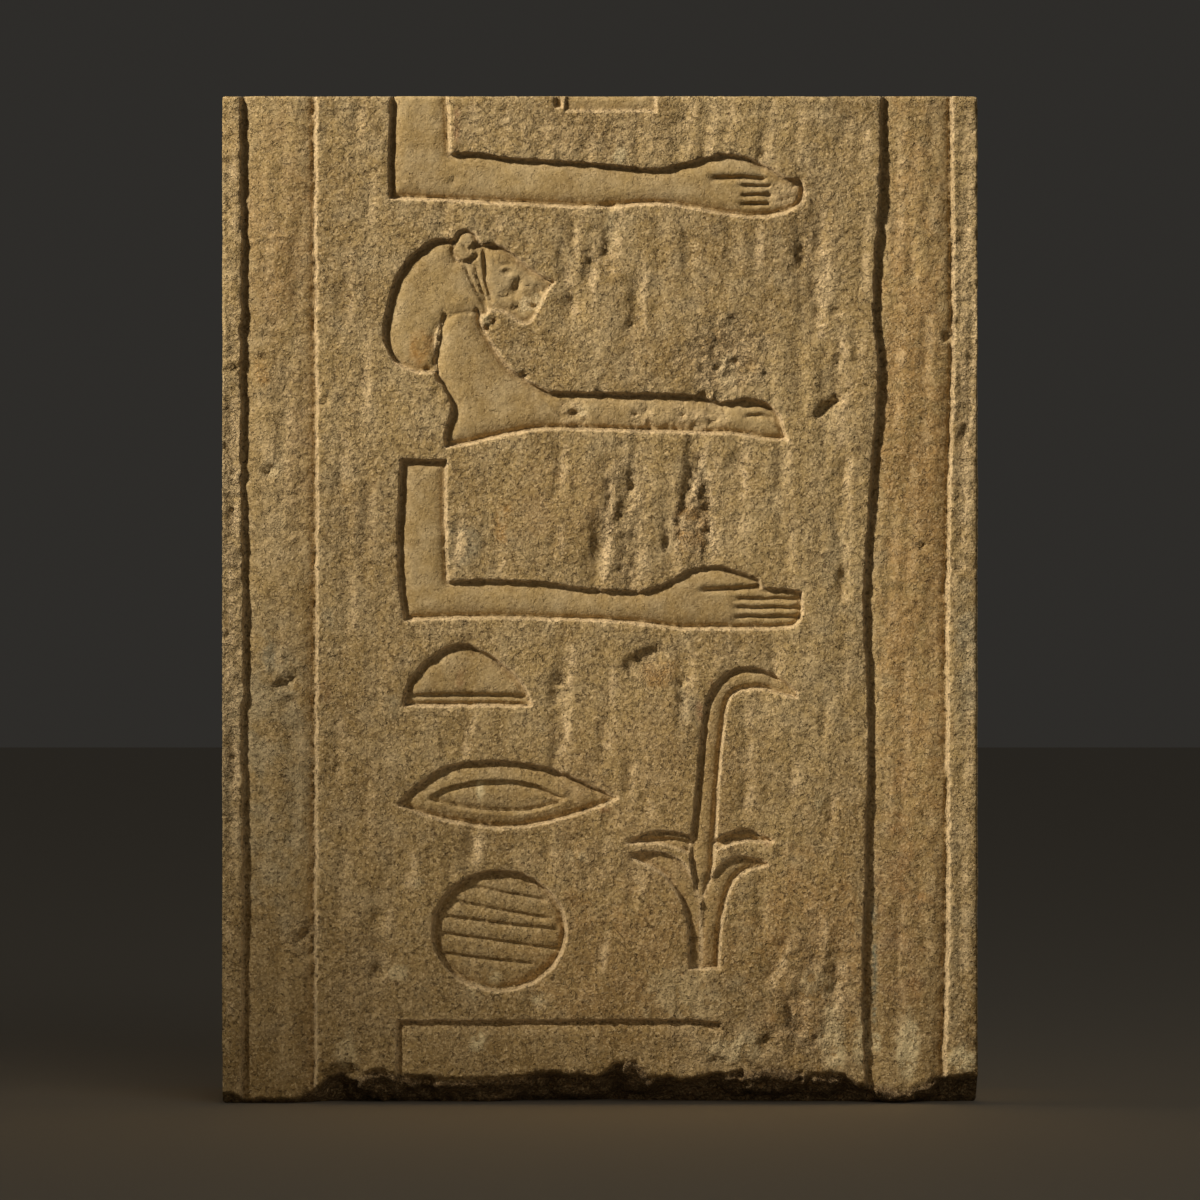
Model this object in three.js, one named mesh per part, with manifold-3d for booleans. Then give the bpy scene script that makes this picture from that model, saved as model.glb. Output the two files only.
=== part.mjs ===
// A block of tan sandstone with figures sunk into its face between two upright bands.
// Millimetres. x runs to the right from the middle of the block, z up from its underside, and the carved
// face looks along -y. Every figure is cut the same way: a steep wall goes down from the face to a foot,
// and a rounded bolster comes back up inside it to a crown that stays below the face.
import * as THREE from 'three';
import Module from 'manifold-3d';
import { mergeVertices } from 'three/addons/utils/BufferGeometryUtils.js';

// The block
const BLOCK_WIDTH = 378;
const BLOCK_HEIGHT = 504;
const BLOCK_THICKNESS = 120;
const FACE_Y = -BLOCK_THICKNESS / 2;

// How deep the chisel went: the foot of a wall and the crown of its bolster, both below the face
const FIGURE_FOOT = 5.5;
const FIGURE_CROWN = 1.8;
const SLENDER_FOOT = 4;
const SLENDER_CROWN = 1.8;
const BAND_FOOT = 5;
const BAND_CROWN = 1.6;
const BAND_ROUND = 14;
const BOLSTER_ROUND = 9;
const WALL_RUN = 1.7;
const LINE_WIDTH = 1.4;
const LINE_FOOT = 4.4;
const GROOVE_WIDTH = 1.8;
const GROOVE_FOOT = 5;

// How finely curves are cut into facets
const BOLSTER_STEPS = [0.2, 0.55, 1];
const SCOOP_SIDES = 10;
const SCOOP_SHARES = [0.7, 0.35];
const SCOOP_UNEVEN = 0.1;
const CLEAR = 3;

// The figures keep these shares of a narrow strip for its walls, its bolster and its depth
const NARROW_RUN = 0.2;
const NARROW_ROUND = 0.45;
const NARROW_DEPTH = 0.9;
const NARROW_LIFT = 0.3;

const wasm = await Module();
wasm.setup();

const quarterRound = (share) => Math.sqrt(1 - (1 - Math.min(1, share)) ** 2);

// A closed mesh as a solid for joining and cutting, with its faces turned outwards
function solidFrom(positions, triangles) {
  let volume = 0;
  const corner = (index) => new THREE.Vector3().fromArray(positions, index * 3);
  for (const [a, b, c] of triangles) volume += corner(a).dot(corner(b).cross(corner(c)));
  const outward = volume < 0 ? triangles.map(([a, b, c]) => [a, c, b]) : triangles;
  const geometry = new THREE.BufferGeometry();
  geometry.setAttribute('position', new THREE.Float32BufferAttribute(positions, 3));
  geometry.setIndex(outward.flat());
  return solidOf(geometry);
}

// The same for a three.js geometry
function solidOf(geometry) {
  geometry.deleteAttribute('normal');
  geometry.deleteAttribute('uv');
  const merged = mergeVertices(geometry);
  const index = merged.index.array;
  const kept = [];
  for (let i = 0; i < index.length; i += 3) {
    const [a, b, c] = [index[i], index[i + 1], index[i + 2]];
    if (a !== b && b !== c && c !== a) kept.push(a, b, c);
  }
  return new wasm.Manifold(new wasm.Mesh({
    numProp: 3,
    vertProperties: new Float32Array(merged.attributes.position.array),
    triVerts: new Uint32Array(kept),
  }));
}

// A closed skin over a row of rings that all have the same number of points
function loft(rings) {
  const sides = rings[0].length;
  const triangles = [];
  for (let ring = 0; ring + 1 < rings.length; ring += 1) {
    for (let side = 0; side < sides; side += 1) {
      const here = ring * sides + side;
      const next = ring * sides + (side + 1) % sides;
      triangles.push([here, next, next + sides], [here, next + sides, here + sides]);
    }
  }
  const last = (rings.length - 1) * sides;
  for (let side = 1; side + 1 < sides; side += 1) {
    triangles.push([0, side + 1, side], [last, last + side, last + side + 1]);
  }
  return solidFrom(rings.flat().flat(), triangles);
}

// Pairs of points across a strip, from two edges that each run smoothly through their own points.
// An edge of one point is a corner that the strip turns about.
function rungs(edgeA, edgeB, count) {
  const along = (edge) => {
    if (edge.length === 1) return new Array(count + 1).fill(new THREE.Vector2(...edge[0]));
    return new THREE.SplineCurve(edge.map((point) => new THREE.Vector2(...point))).getSpacedPoints(count);
  };
  const pointsB = along(edgeB);
  return along(edgeA).map((a, i) => [a, pointsB[i]]);
}

// The rungs of several stretches in one row; a stretch starts on the last rung of the one before
function joined(...stretches) {
  return stretches.flatMap((stretch, i) => (i === 0 ? stretch : stretch.slice(1)));
}

// The section across one rung, as distance along it and depth below the face
function section(width, { feet, crown, rounding, lift }) {
  const run = Math.min(WALL_RUN, NARROW_RUN * width);
  const round = Math.min(rounding, NARROW_ROUND * width - run);
  const points = [[0, -CLEAR], [0, 0]];
  const [footA, footB] = feet.map((foot) => Math.min(foot, NARROW_DEPTH * width));
  const top = Math.min(crown, footA, footB);
  const rise = lift * Math.min(1, (0.5 * width - run) / rounding + NARROW_LIFT);
  const depthAt = (foot, share) => foot - (foot - top) * rise * quarterRound(share);
  points.push([run, footA]);
  for (const share of BOLSTER_STEPS) points.push([run + round * share, depthAt(footA, share)]);
  for (const share of [...BOLSTER_STEPS].reverse()) {
    points.push([width - run - round * share, depthAt(footB, share)]);
  }
  points.push([width - run, footB], [width, 0], [width, -CLEAR]);
  return points;
}

// What the chisel takes out along a strip. Its ends are walls, and the bolster rounds down to them.
function strip(row, options = {}) {
  const { foot = FIGURE_FOOT, crown = FIGURE_CROWN, rounding = BOLSTER_ROUND, openEnds = [false, false] } = options;
  const feet = options.feet ?? [foot, foot];
  const middles = row.map(([a, b]) => a.clone().add(b).multiplyScalar(0.5));
  const travelled = [0];
  for (let i = 1; i < middles.length; i += 1) {
    travelled.push(travelled[i - 1] + middles[i].distanceTo(middles[i - 1]));
  }
  const length = travelled[travelled.length - 1];
  return loft(row.map(([a, b], i) => {
    const fromStart = openEnds[0] ? Infinity : travelled[i];
    const fromEnd = openEnds[1] ? Infinity : length - travelled[i];
    const lift = quarterRound(Math.min(fromStart, fromEnd) / rounding);
    const width = a.distanceTo(b);
    const across = b.clone().sub(a).normalize();
    return section(width, { feet, crown, rounding, lift }).map(([reach, depth]) => (
      [a.x + across.x * reach, FACE_Y + depth, a.y + across.y * reach]
    ));
  }));
}

// An incised line of even width through its own points
function line(points, options = {}) {
  const { width = LINE_WIDTH, foot = LINE_FOOT, count = points.length - 1 } = options;
  const path = new THREE.SplineCurve(points.map((point) => new THREE.Vector2(...point)));
  const middles = path.getSpacedPoints(count);
  return loft(middles.map((middle, i) => {
    const tangent = path.getTangentAt(i / count);
    const side = new THREE.Vector2(-tangent.y, tangent.x).multiplyScalar(width / 2);
    return [
      [middle.x - side.x, FACE_Y - CLEAR, middle.y - side.y],
      [middle.x - side.x, FACE_Y + foot - width / 2, middle.y - side.y],
      [middle.x, FACE_Y + foot, middle.y],
      [middle.x + side.x, FACE_Y + foot - width / 2, middle.y + side.y],
      [middle.x + side.x, FACE_Y - CLEAR, middle.y + side.y],
    ];
  }));
}

// A shallow dish knocked out of the stone, with its deepest point at depth below the face
function scoop([x, z], [halfLength, halfWidth], depth, { turn = 0, level = 0 } = {}) {
  const angle = THREE.MathUtils.degToRad(turn);
  const shares = [1, 1, ...SCOOP_SHARES];
  return loft(shares.map((share, ring) => {
    const sunk = ring === 0 ? -CLEAR : level + (depth - level) * (1 - share ** 2);
    const points = [];
    for (let side = 0; side < SCOOP_SIDES; side += 1) {
      const around = side / SCOOP_SIDES * 2 * Math.PI;
      const uneven = 1 + SCOOP_UNEVEN * Math.sin(3 * around + x);
      const u = halfLength * share * uneven * Math.cos(around);
      const v = halfWidth * share * uneven * Math.sin(around);
      points.push([
        x + u * Math.cos(angle) - v * Math.sin(angle),
        FACE_Y + sunk,
        z + u * Math.sin(angle) + v * Math.cos(angle),
      ]);
    }
    return points;
  }));
}

// A round figure: a wall all round a domed floor
function dome([x, z], [radiusX, radiusZ], { foot = FIGURE_FOOT, crown = FIGURE_CROWN, sides = 30 } = {}) {
  const radius = Math.max(radiusX, radiusZ);
  const floor = radius - WALL_RUN;
  const round = Math.min(BOLSTER_ROUND, 0.7 * floor);
  const profile = [[0, -CLEAR], [radius, -CLEAR], [radius, 0], [floor, foot]];
  for (const share of BOLSTER_STEPS) {
    profile.push([floor - round * share, foot - (foot - crown) * quarterRound(share)]);
  }
  profile.push([0, crown]);
  const turned = new THREE.LatheGeometry(profile.map((point) => new THREE.Vector2(...point)), sides);
  turned.scale(radiusX / radius, 1, radiusZ / radius);
  turned.translate(x, FACE_Y, z);
  return solidOf(turned);
}

// The upright sunk bands. Each edge wanders, so it is given as [x, z] from the top down.
const leftBand = {
  left: [[-180.5, 510], [-180, 470], [-179.5, 430], [-180, 360], [-179, 250], [-178.5, 206], [-180, 190],
    [-179, 120], [-180, 0]],
  right: [[-141.5, 510], [-141.5, 420], [-141, 340], [-141, 250], [-141.5, 120], [-141.5, 0]],
};
const rightBand = {
  left: [[140.5, 510], [140, 470], [136.5, 400], [139, 370], [137, 334], [133, 280], [132, 240], [134, 190],
    [132.5, 120], [131, 50], [134, 0]],
  right: [[176.5, 510], [177.5, 400], [177, 350], [175, 290], [174.5, 200], [175, 110], [174, 50], [172, 0]],
};
const BAND_PIECES = 14;

function bands() {
  return [leftBand, rightBand].map(({ left, right }) => strip(rungs(left, right, BAND_PIECES), {
    foot: BAND_FOOT, crown: BAND_CROWN, rounding: BAND_ROUND, openEnds: [true, true],
  }));
}

// The lower end of a figure that the top of the block cuts through
function cutOffFigure() {
  const hanging = { foot: SLENDER_FOOT, openEnds: [true, false] };
  return [
    strip(rungs([[-18, 510], [-18, 496]], [[28.5, 510], [28.5, 496]], 2), hanging),
    strip(rungs([[-24, 510], [-24, 498]], [[-18.5, 510], [-18.5, 498]], 2), hanging),
  ];
}

// The forearms. The bottom edge starts at the point of the elbow, the top edge in the crook.
const upperArm = {
  outer: [[-104.5, 510], [-106, 470], [-105.5, 452.5]],
  inner: [[-76.5, 510], [-75, 490], [-74.5, 475.5]],
  bottom: [[-105.5, 452.5], [-70, 451], [-40, 449.5], [-5, 448], [28, 449.5], [45, 447.5], [60, 445], [75, 443],
    [88, 444], [98, 447.5], [102.5, 453.5], [102.5, 459]],
  top: [[-74.5, 475.5], [-60, 476], [-45, 473.5], [-5, 471], [25, 468], [35, 469], [55, 474], [62.5, 475.5],
    [74, 473.5], [85, 468.5], [92, 464], [97, 463], [102, 461.5]],
  open: true,
  thumb: [[56, 463], [70, 463.5], [82.5, 462.5]],
  fingers: { from: 71, to: 85, levels: [459, 454.5, 450] },
};
const lowerArm = {
  outer: [[-100, 322.5], [-101.5, 290], [-101, 262], [-98, 241.5]],
  inner: [[-76.5, 322.5], [-76.5, 290], [-75.5, 261.5]],
  bottom: [[-98, 241.5], [-60, 242.5], [0, 241], [25, 239], [38, 237.3], [60, 237], [90, 237.3], [98.5, 239.5],
    [101.5, 245], [101.5, 252]],
  top: [[-75.5, 261.5], [-60, 262.5], [-30, 261.5], [-5, 258], [20, 257], [35, 261.5], [42.5, 266.5],
    [57.5, 269.5], [68, 267], [79, 263], [82, 258.5], [96, 257.5], [101, 256.5]],
  open: false,
  thumb: [[51.5, 257], [65, 257.5], [79, 258.5]],
  fingers: { from: 68, to: 99.5, levels: [252.5, 248, 243.5] },
};
const UPPER_ARM_PIECES = 5;
const FOREARM_PIECES = 24;

function arm({ outer, inner, bottom, top, open, thumb, fingers }) {
  const limb = joined(rungs(outer, inner, UPPER_ARM_PIECES), rungs(bottom, top, FOREARM_PIECES));
  return [
    strip(limb, { openEnds: [open, false] }),
    line(thumb, { width: GROOVE_WIDTH, foot: GROOVE_FOOT }),
    ...fingers.levels.map((level) => line([[fingers.from, level], [fingers.to, level]])),
  ];
}

// The forepart of a lion that looks right, with one foreleg stretched out
const lion = {
  maneOuter: [[-73, 432], [-82, 432.5], [-90, 428], [-100, 417.5], [-106, 402], [-108.5, 387], [-106, 375],
    [-100, 368.5], [-90, 365]],
  maneInner: [[-71, 423], [-60.5, 420], [-57, 408], [-55.5, 396], [-61, 393.5], [-68.5, 394], [-77, 391],
    [-81.5, 384.5], [-81.5, 365.5]],
  faceTop: [[-59.5, 430.5], [-50, 429.5], [-42.5, 425], [-32.5, 417], [-22, 411]],
  faceBottom: [[-56, 396.5], [-48, 395.5], [-39, 390], [-34, 391.5], [-29.5, 399.5], [-25, 408]],
  back: [[-80.5, 386.5], [-83, 366], [-79, 358], [-74.5, 348], [-78, 336], [-77.5, 327.5]],
  chest: [[-61, 394.5], [-54, 381], [-45, 368], [-35, 361.5], [-24, 356.5]],
  belly: [[-77.5, 327.5], [-65, 330], [-45, 334.5], [-27.5, 337]],
  legBottom: [[-27.5, 337], [0, 336.5], [40, 335.3], [68, 334.5], [82, 332], [94, 332]],
  legTop: [[-24, 356.5], [0, 356], [46, 355], [60, 351.5], [74, 353], [84, 350.5], [90, 345]],
  ear: [-67, 429],
  eye: [-47, 416],
};
const MANE_PIECES = 15;
const LION_SOFT_FOOT = 3.6;

function lionForepart() {
  const body = joined(
    rungs(lion.back, lion.chest, 9),
    rungs(lion.belly, lion.chest.slice(-1), 6),
    rungs(lion.legBottom, lion.legTop, 16),
  );
  return [
    strip(rungs(lion.maneOuter, lion.maneInner, MANE_PIECES), { feet: [FIGURE_FOOT, LION_SOFT_FOOT] }),
    strip(rungs(lion.faceTop, lion.faceBottom, 7), { feet: [FIGURE_FOOT, LION_SOFT_FOOT], rounding: 6 }),
    strip(body),
    dome(lion.ear, [7.5, 9], { foot: 4, crown: 1, sides: 14 }),
    dome(lion.eye, [3.8, 2.6], { foot: 3.2, crown: 2.2, sides: 10 }),
    scoop(lion.ear, [3, 4], 2.6, { level: 1 }),
    line([[-67, 417.5], [-65, 412], [-64.5, 407]], { foot: 3.4 }),
    line([[-62.5, 418], [-61, 412], [-60.5, 407]], { foot: 3.4 }),
    line([[72, 349], [80, 349], [85, 347]], { foot: 4.6 }),
    line([[73, 344], [81, 344.5], [87, 342.5]], { foot: 4.6 }),
    scoop([-37.5, 410.5], [9, 3.6], 5.4, { turn: 42, level: 2 }),
    scoop([-53.5, 392], [2.4, 2], 6),
    scoop([-57, 387.5], [2.4, 2], 6),
    scoop([-38, 364.5], [3, 2], 4.5, { turn: 20 }),
  ];
}

// A loaf of bread: a low arch on a flat base with one incised line
function loaf() {
  const base = [[-98.5, 198.5], [-34, 198.5]];
  const arch = [[-98.5, 202.5], [-95, 213], [-84, 224], [-70, 230.5], [-57, 226], [-45, 217.5], [-38, 209.5],
    [-34, 202]];
  return [
    strip(rungs(base, arch, 14)),
    line([[-93, 204], [-66, 204.3], [-38, 203.7]], { foot: GROOVE_FOOT }),
  ];
}

// A mouth: a lens with a smaller lens sunk in it
function mouth() {
  const under = [[-101.5, 149], [-85, 143], [-64, 138.8], [-45, 137.5], [-25, 140.5], [-8, 145.5], [9.5, 152.3]];
  const over = [[-101.5, 150.8], [-90, 161], [-75, 169.5], [-50, 171.8], [-25, 168], [-5, 160], [9.5, 153.5]];
  const innerUnder = [[-86, 151.5], [-70, 147], [-50, 144.8], [-32, 146], [-22, 149.5], [-15, 152.2]];
  const innerOver = [[-86, 153.5], [-72, 160], [-50, 162.3], [-33, 160], [-22, 155.5], [-15, 153.6]];
  return [
    strip(rungs(under, over, 18), { crown: 1.6 }),
    strip(rungs(innerUnder, innerOver, 12), { crown: 2.6, rounding: 4 }),
  ];
}

// A round sieve with five sloping lines, each given by its two ends
const sieve = {
  centre: [-50.5, 86.5],
  radii: [34, 30.5],
  lines: [[[-60, 108], [-27, 102]], [[-73, 101.5], [-25, 92.5]], [[-79, 94], [-22, 87]], [[-80, 85.5], [-22, 77.5]],
    [[-78, 75], [-33, 70]]],
};

function sieveDisc() {
  return [dome(sieve.centre, sieve.radii), ...sieve.lines.map((ends) => line(ends, { foot: 3.6 }))];
}

// A sedge: a stem that bends over to the right, out of a sheathed stalk with two pairs of leaves
const sedge = {
  stemLeft: [[49.5, 101], [46, 113], [44.6, 128], [47, 150], [50, 182], [53, 202], [60, 213], [69, 218],
    [80, 218], [90, 213.5], [99, 206.5]],
  stemRight: [[51, 101], [56.5, 114], [58, 130], [59.5, 152], [61.5, 178], [64.3, 199], [67.5, 204.5],
    [72, 206.5], [80, 207], [90, 204.7], [99, 202.5]],
  stalkRight: [[60, 67], [60.8, 85], [63, 98], [66.5, 109.5], [73, 116], [84.5, 118.6]],
  stalkMiddleRight: [[49.5, 67], [50, 90], [50.5, 102], [54, 111.5], [61, 120], [70, 124.5], [84, 120.8]],
  stalkLeft: [[44.5, 67], [44.3, 82], [42.5, 94], [39.5, 103], [34, 111.5], [27, 117], [15, 123]],
  stalkMiddleLeft: [[51, 67], [51, 90], [50, 102], [46.5, 113.5], [40, 122.5], [30, 126.5], [14.5, 125.2]],
  leafLeft: {
    over: [[46, 134.5], [35, 137], [24, 136], [13, 131]],
    under: [[45, 124.5], [37, 127.5], [28, 130], [13.5, 129.8]],
  },
  leafRight: {
    over: [[57, 132.5], [65, 136], [73, 138], [87.5, 131.8]],
    under: [[57.5, 126.5], [66, 129.3], [75, 131], [87, 130.4]],
  },
};

function sedgePlant() {
  const slender = { foot: SLENDER_FOOT, crown: SLENDER_CROWN, rounding: 5 };
  return [
    strip(rungs(sedge.stemLeft, sedge.stemRight, 22), { rounding: 6 }),
    strip(rungs(sedge.stalkRight, sedge.stalkMiddleRight, 12), { feet: [FIGURE_FOOT, 3], rounding: 6 }),
    strip(rungs(sedge.stalkLeft, sedge.stalkMiddleLeft, 12), { feet: [FIGURE_FOOT, 3], rounding: 6 }),
    strip(rungs(sedge.leafLeft.over, sedge.leafLeft.under, 6), slender),
    strip(rungs(sedge.leafRight.over, sedge.leafRight.under, 6), slender),
  ];
}

// The top of a basin. It fades out to the right, and its foot is lost in the break.
function basin() {
  const under = [[-102, -5], [-60, -5], [40, -5], [70, 10]];
  const over = [[-102, 42], [-60, 42], [30, 42.3], [60, 41]];
  return [strip(rungs(under, over, 12), { foot: SLENDER_FOOT, crown: 1.2 })];
}

// Chips, pits and worn hollows: place, half length and half width, depth, and turn in degrees
const wear = [
  { at: [22, 219], size: [14, 6], depth: 3.4, turn: 32 },
  { at: [111, 346], size: [6, 2.2], depth: 2.6, turn: 40 },
  { at: [123, 351], size: [6.5, 1.5], depth: 2.4, turn: 32 },
  { at: [65, 374], size: [22, 14], depth: 1.6, turn: 80 },
  { at: [15, 290], size: [34, 11], depth: 1.3, turn: 82 },
  { at: [50, 292], size: [26, 10], depth: 1.4, turn: 88 },
  { at: [-157, 209], size: [11, 4.5], depth: 5.2, turn: 30 },
  { at: [-165, 316], size: [7, 5], depth: 4.6, turn: 40 },
  { at: [-147, 84], size: [9, 4], depth: 5.5, turn: 60 },
  { at: [-137.5, 352], size: [3.5, 2.5], depth: 2.4, turn: 70 },
  { at: [-12, 344], size: [6, 2.6], depth: 5, turn: 10 },
  { at: [17.5, 344.5], size: [3, 2.4], depth: 4.6, turn: 0 },
  { at: [33.5, 338], size: [6, 2.4], depth: 5.4, turn: 0 },
  { at: [48.5, 338.5], size: [7, 2.4], depth: 5.4, turn: 0 },
  { at: [93, 452], size: [7, 6], depth: 3.6, turn: 0 },
  { at: [98, 459.5], size: [4, 3], depth: 5, turn: 30 },
  { at: [50, 352], size: [8, 3], depth: 4.5, turn: 40 },
  { at: [-184, 367], size: [9, 1.6], depth: 3, turn: 15 },
];

// Fine lines in the two narrow outer strips: the side of a figure cut through by the left edge, and the
// edge of a flake on the right
const edgeLines = [
  [[-187, 424], [-185.7, 400], [-183.5, 387], [-179.8, 375]],
  [[172, 267], [181, 268], [194, 268.5]],
];
const EDGE_LINE_FOOT = 1.8;

function worn() {
  return [
    ...wear.map(({ at, size, depth, turn }) => scoop(at, size, depth, { turn })),
    ...edgeLines.map((points) => line(points, { foot: EDGE_LINE_FOOT })),
  ];
}

// The broken lower edge of the face, as [x, height where the face ends, reach back on the underside]
const breakLine = [
  [-195, 7, 10], [-178, 3.5, 8], [-150, 3, 9], [-143, 8, 14], [-137, 14, 20], [-130, 17, 24], [-124, 13.5, 22],
  [-112, 18, 25], [-98, 16, 23], [-82, 13.5, 22], [-60, 13, 24], [-40, 15, 27], [-25, 17, 30], [0, 14.5, 32],
  [8, 21, 33], [17, 23, 30], [25, 14.5, 26], [48, 13.5, 24], [66, 17, 24], [86, 20, 22], [104, 15.5, 20],
  [120, 16, 21], [127, 12, 18], [142, 10.5, 17], [152, 7.5, 14], [160, 11, 18], [171, 15, 21], [195, 14.5, 20],
];

// The break curves from the face to the underside through these shares of its reach and its height
const BREAK_CURVE = [[0.3, 0.82], [0.65, 0.5]];
const BREAK_LUMP = 0.7;

function brokenEdge() {
  return [loft(breakLine.map(([x, height, reach], i) => {
    const lump = i % 2 === 0 ? BREAK_LUMP : -BREAK_LUMP;
    return [
      [x, FACE_Y - CLEAR, -CLEAR],
      [x, FACE_Y - CLEAR, height],
      [x, FACE_Y, height],
      ...BREAK_CURVE.map(([back, up]) => [x, FACE_Y + back * reach + lump, up * height + lump]),
      [x, FACE_Y + reach, 0],
      [x, FACE_Y + reach, -CLEAR],
    ];
  }))];
}

function carvedBlock() {
  const sawn = new THREE.BoxGeometry(BLOCK_WIDTH, BLOCK_THICKNESS, BLOCK_HEIGHT);
  sawn.translate(0, 0, BLOCK_HEIGHT / 2);
  const cuts = [
    ...bands(),
    ...cutOffFigure(),
    ...arm(upperArm),
    ...lionForepart(),
    ...arm(lowerArm),
    ...loaf(),
    ...mouth(),
    ...sieveDisc(),
    ...sedgePlant(),
    ...basin(),
    ...worn(),
    ...brokenEdge(),
  ];
  const { vertProperties, triVerts } = cuts.reduce((block, cut) => block.subtract(cut), solidOf(sawn)).getMesh();
  const geometry = new THREE.BufferGeometry();
  geometry.setAttribute('position', new THREE.BufferAttribute(vertProperties, 3));
  geometry.setIndex(new THREE.BufferAttribute(triVerts, 1));
  geometry.computeVertexNormals();
  return geometry;
}

const sandstone = new THREE.MeshStandardMaterial({ color: 0xa88a5c, roughness: 0.92, metalness: 0 });

const reliefBlock = new THREE.Mesh(carvedBlock(), sandstone);
reliefBlock.name = 'relief_block';

const relief = new THREE.Group();
relief.add(reliefBlock);

export default relief;
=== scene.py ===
"""An upright block of tan sandstone with figures sunk into its face between two bands.

The carving is laid out in millimetres: x to the right from the middle of the block, z up from its
underside, and depth into the stone from the carved face. The finished mesh is in metres.
"""

import logging
import math
from collections.abc import Mapping, Sequence
from dataclasses import dataclass, field
from enum import Enum
from typing import Protocol

import bpy
import numpy as np
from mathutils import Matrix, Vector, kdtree
from mathutils.geometry import delaunay_2d_cdt

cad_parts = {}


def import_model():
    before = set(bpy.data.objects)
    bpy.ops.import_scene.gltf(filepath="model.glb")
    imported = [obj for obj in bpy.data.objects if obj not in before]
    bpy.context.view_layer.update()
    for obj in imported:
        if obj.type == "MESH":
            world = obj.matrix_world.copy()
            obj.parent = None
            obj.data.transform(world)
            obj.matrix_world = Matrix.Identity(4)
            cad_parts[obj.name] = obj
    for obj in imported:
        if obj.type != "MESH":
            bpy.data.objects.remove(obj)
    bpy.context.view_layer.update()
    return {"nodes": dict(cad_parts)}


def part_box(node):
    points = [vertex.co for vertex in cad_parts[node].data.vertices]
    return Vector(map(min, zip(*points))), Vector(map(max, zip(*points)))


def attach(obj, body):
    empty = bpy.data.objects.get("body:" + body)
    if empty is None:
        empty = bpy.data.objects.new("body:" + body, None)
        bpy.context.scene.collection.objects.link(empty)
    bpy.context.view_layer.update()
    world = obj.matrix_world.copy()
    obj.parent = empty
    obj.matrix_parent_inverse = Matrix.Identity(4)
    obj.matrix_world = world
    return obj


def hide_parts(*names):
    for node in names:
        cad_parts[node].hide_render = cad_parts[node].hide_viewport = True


Point = tuple[float, float]
Line = tuple[Point, ...]

LOG = logging.getLogger("relief")
MM = 0.001
CHUNK = 2048
LATTICE = 256
SENSOR_MM = 36.0

# How the stone was cut, in millimetres: close to the depths that the solid has
FIGURE_FOOT = 5.4
FIGURE_CROWN = 1.8
SLENDER_FOOT = 4.0
BOLSTER_ROUND = 7.5
WALL_RUN = 1.5
RIM_WEAR = 0.28
RIM_REACH = 0.9
NARROW_RUN = 0.2
NARROW_ROUND = 0.45
NARROW_DEPTH = 0.9
NARROW_LIFT = 0.3

# How finely edges are traced, and how close two points count as one, in millimetres
TRACE_STEP = 1.4
JOINED = 0.05


def ease(share: np.ndarray) -> np.ndarray:
    """Eases a share from 0 to 1, flat at both ends."""
    held = np.clip(share, 0, 1)
    return held * held * (3 - 2 * held)


def quarter_round(share: np.ndarray) -> np.ndarray:
    """Rises from 0 to 1 as a quarter circle does, upright at its foot."""
    return np.sqrt(1 - (1 - np.clip(share, 0, 1)) ** 2)


def through(points: Sequence[Point], spacing: float) -> np.ndarray:
    """Runs a smooth line through points.

    Args:
        points: the points it passes through, in order.
        spacing: the distance between the points that come back.

    Returns:
        Evenly spaced points along the line, its two ends among them.
    """
    given = np.asarray(points, float)
    if len(given) > 2:
        padded = np.vstack([given[:1], given, given[-1:]])
        t = np.linspace(0, 1, 16, endpoint=False)[:, None]
        pieces = [
            0.5 * (2 * b + (c - a) * t + (2 * a - 5 * b + 4 * c - d) * t**2 + (3 * b - a - 3 * c + d) * t**3)
            for a, b, c, d in zip(padded, padded[1:], padded[2:], padded[3:])
        ]
        given = np.vstack([*pieces, given[-1:]])
    travelled = np.concatenate([[0], np.cumsum(np.hypot(*np.diff(given, axis=0).T))])
    count = max(2, round(travelled[-1] / spacing) + 1)
    steps = np.linspace(0, travelled[-1], count)
    return np.column_stack([np.interp(steps, travelled, given[:, axis]) for axis in (0, 1)])


def distance_to(line: np.ndarray, points: np.ndarray) -> np.ndarray:
    """Measures how far each point lies from a line of straight pieces."""
    start = line[:-1]
    span = line[1:] - start
    square = np.maximum((span**2).sum(1), 1e-9)
    nearest = np.empty(len(points))
    for low in range(0, len(points), CHUNK):
        away = points[low:low + CHUNK, None] - start
        along = np.clip((away * span).sum(2) / square, 0, 1)
        away -= along[..., None] * span
        nearest[low:low + CHUNK] = np.sqrt((away**2).sum(2).min(1))
    return nearest


def inside(outline: np.ndarray, points: np.ndarray) -> np.ndarray:
    """Tells which points lie inside a closed outline."""
    x0, z0 = outline.T
    x1, z1 = np.roll(outline, -1, axis=0).T
    rise = np.where(np.abs(z1 - z0) < 1e-9, 1e-9, z1 - z0)
    within = np.empty(len(points), bool)
    for low in range(0, len(points), CHUNK):
        x, z = (points[low:low + CHUNK, axis, None] for axis in (0, 1))
        crossed = ((z0 > z) != (z1 > z)) & (x < (x1 - x0) * (z - z0) / rise + x0)
        within[low:low + CHUNK] = crossed.sum(1) % 2 == 1
    return within


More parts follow.
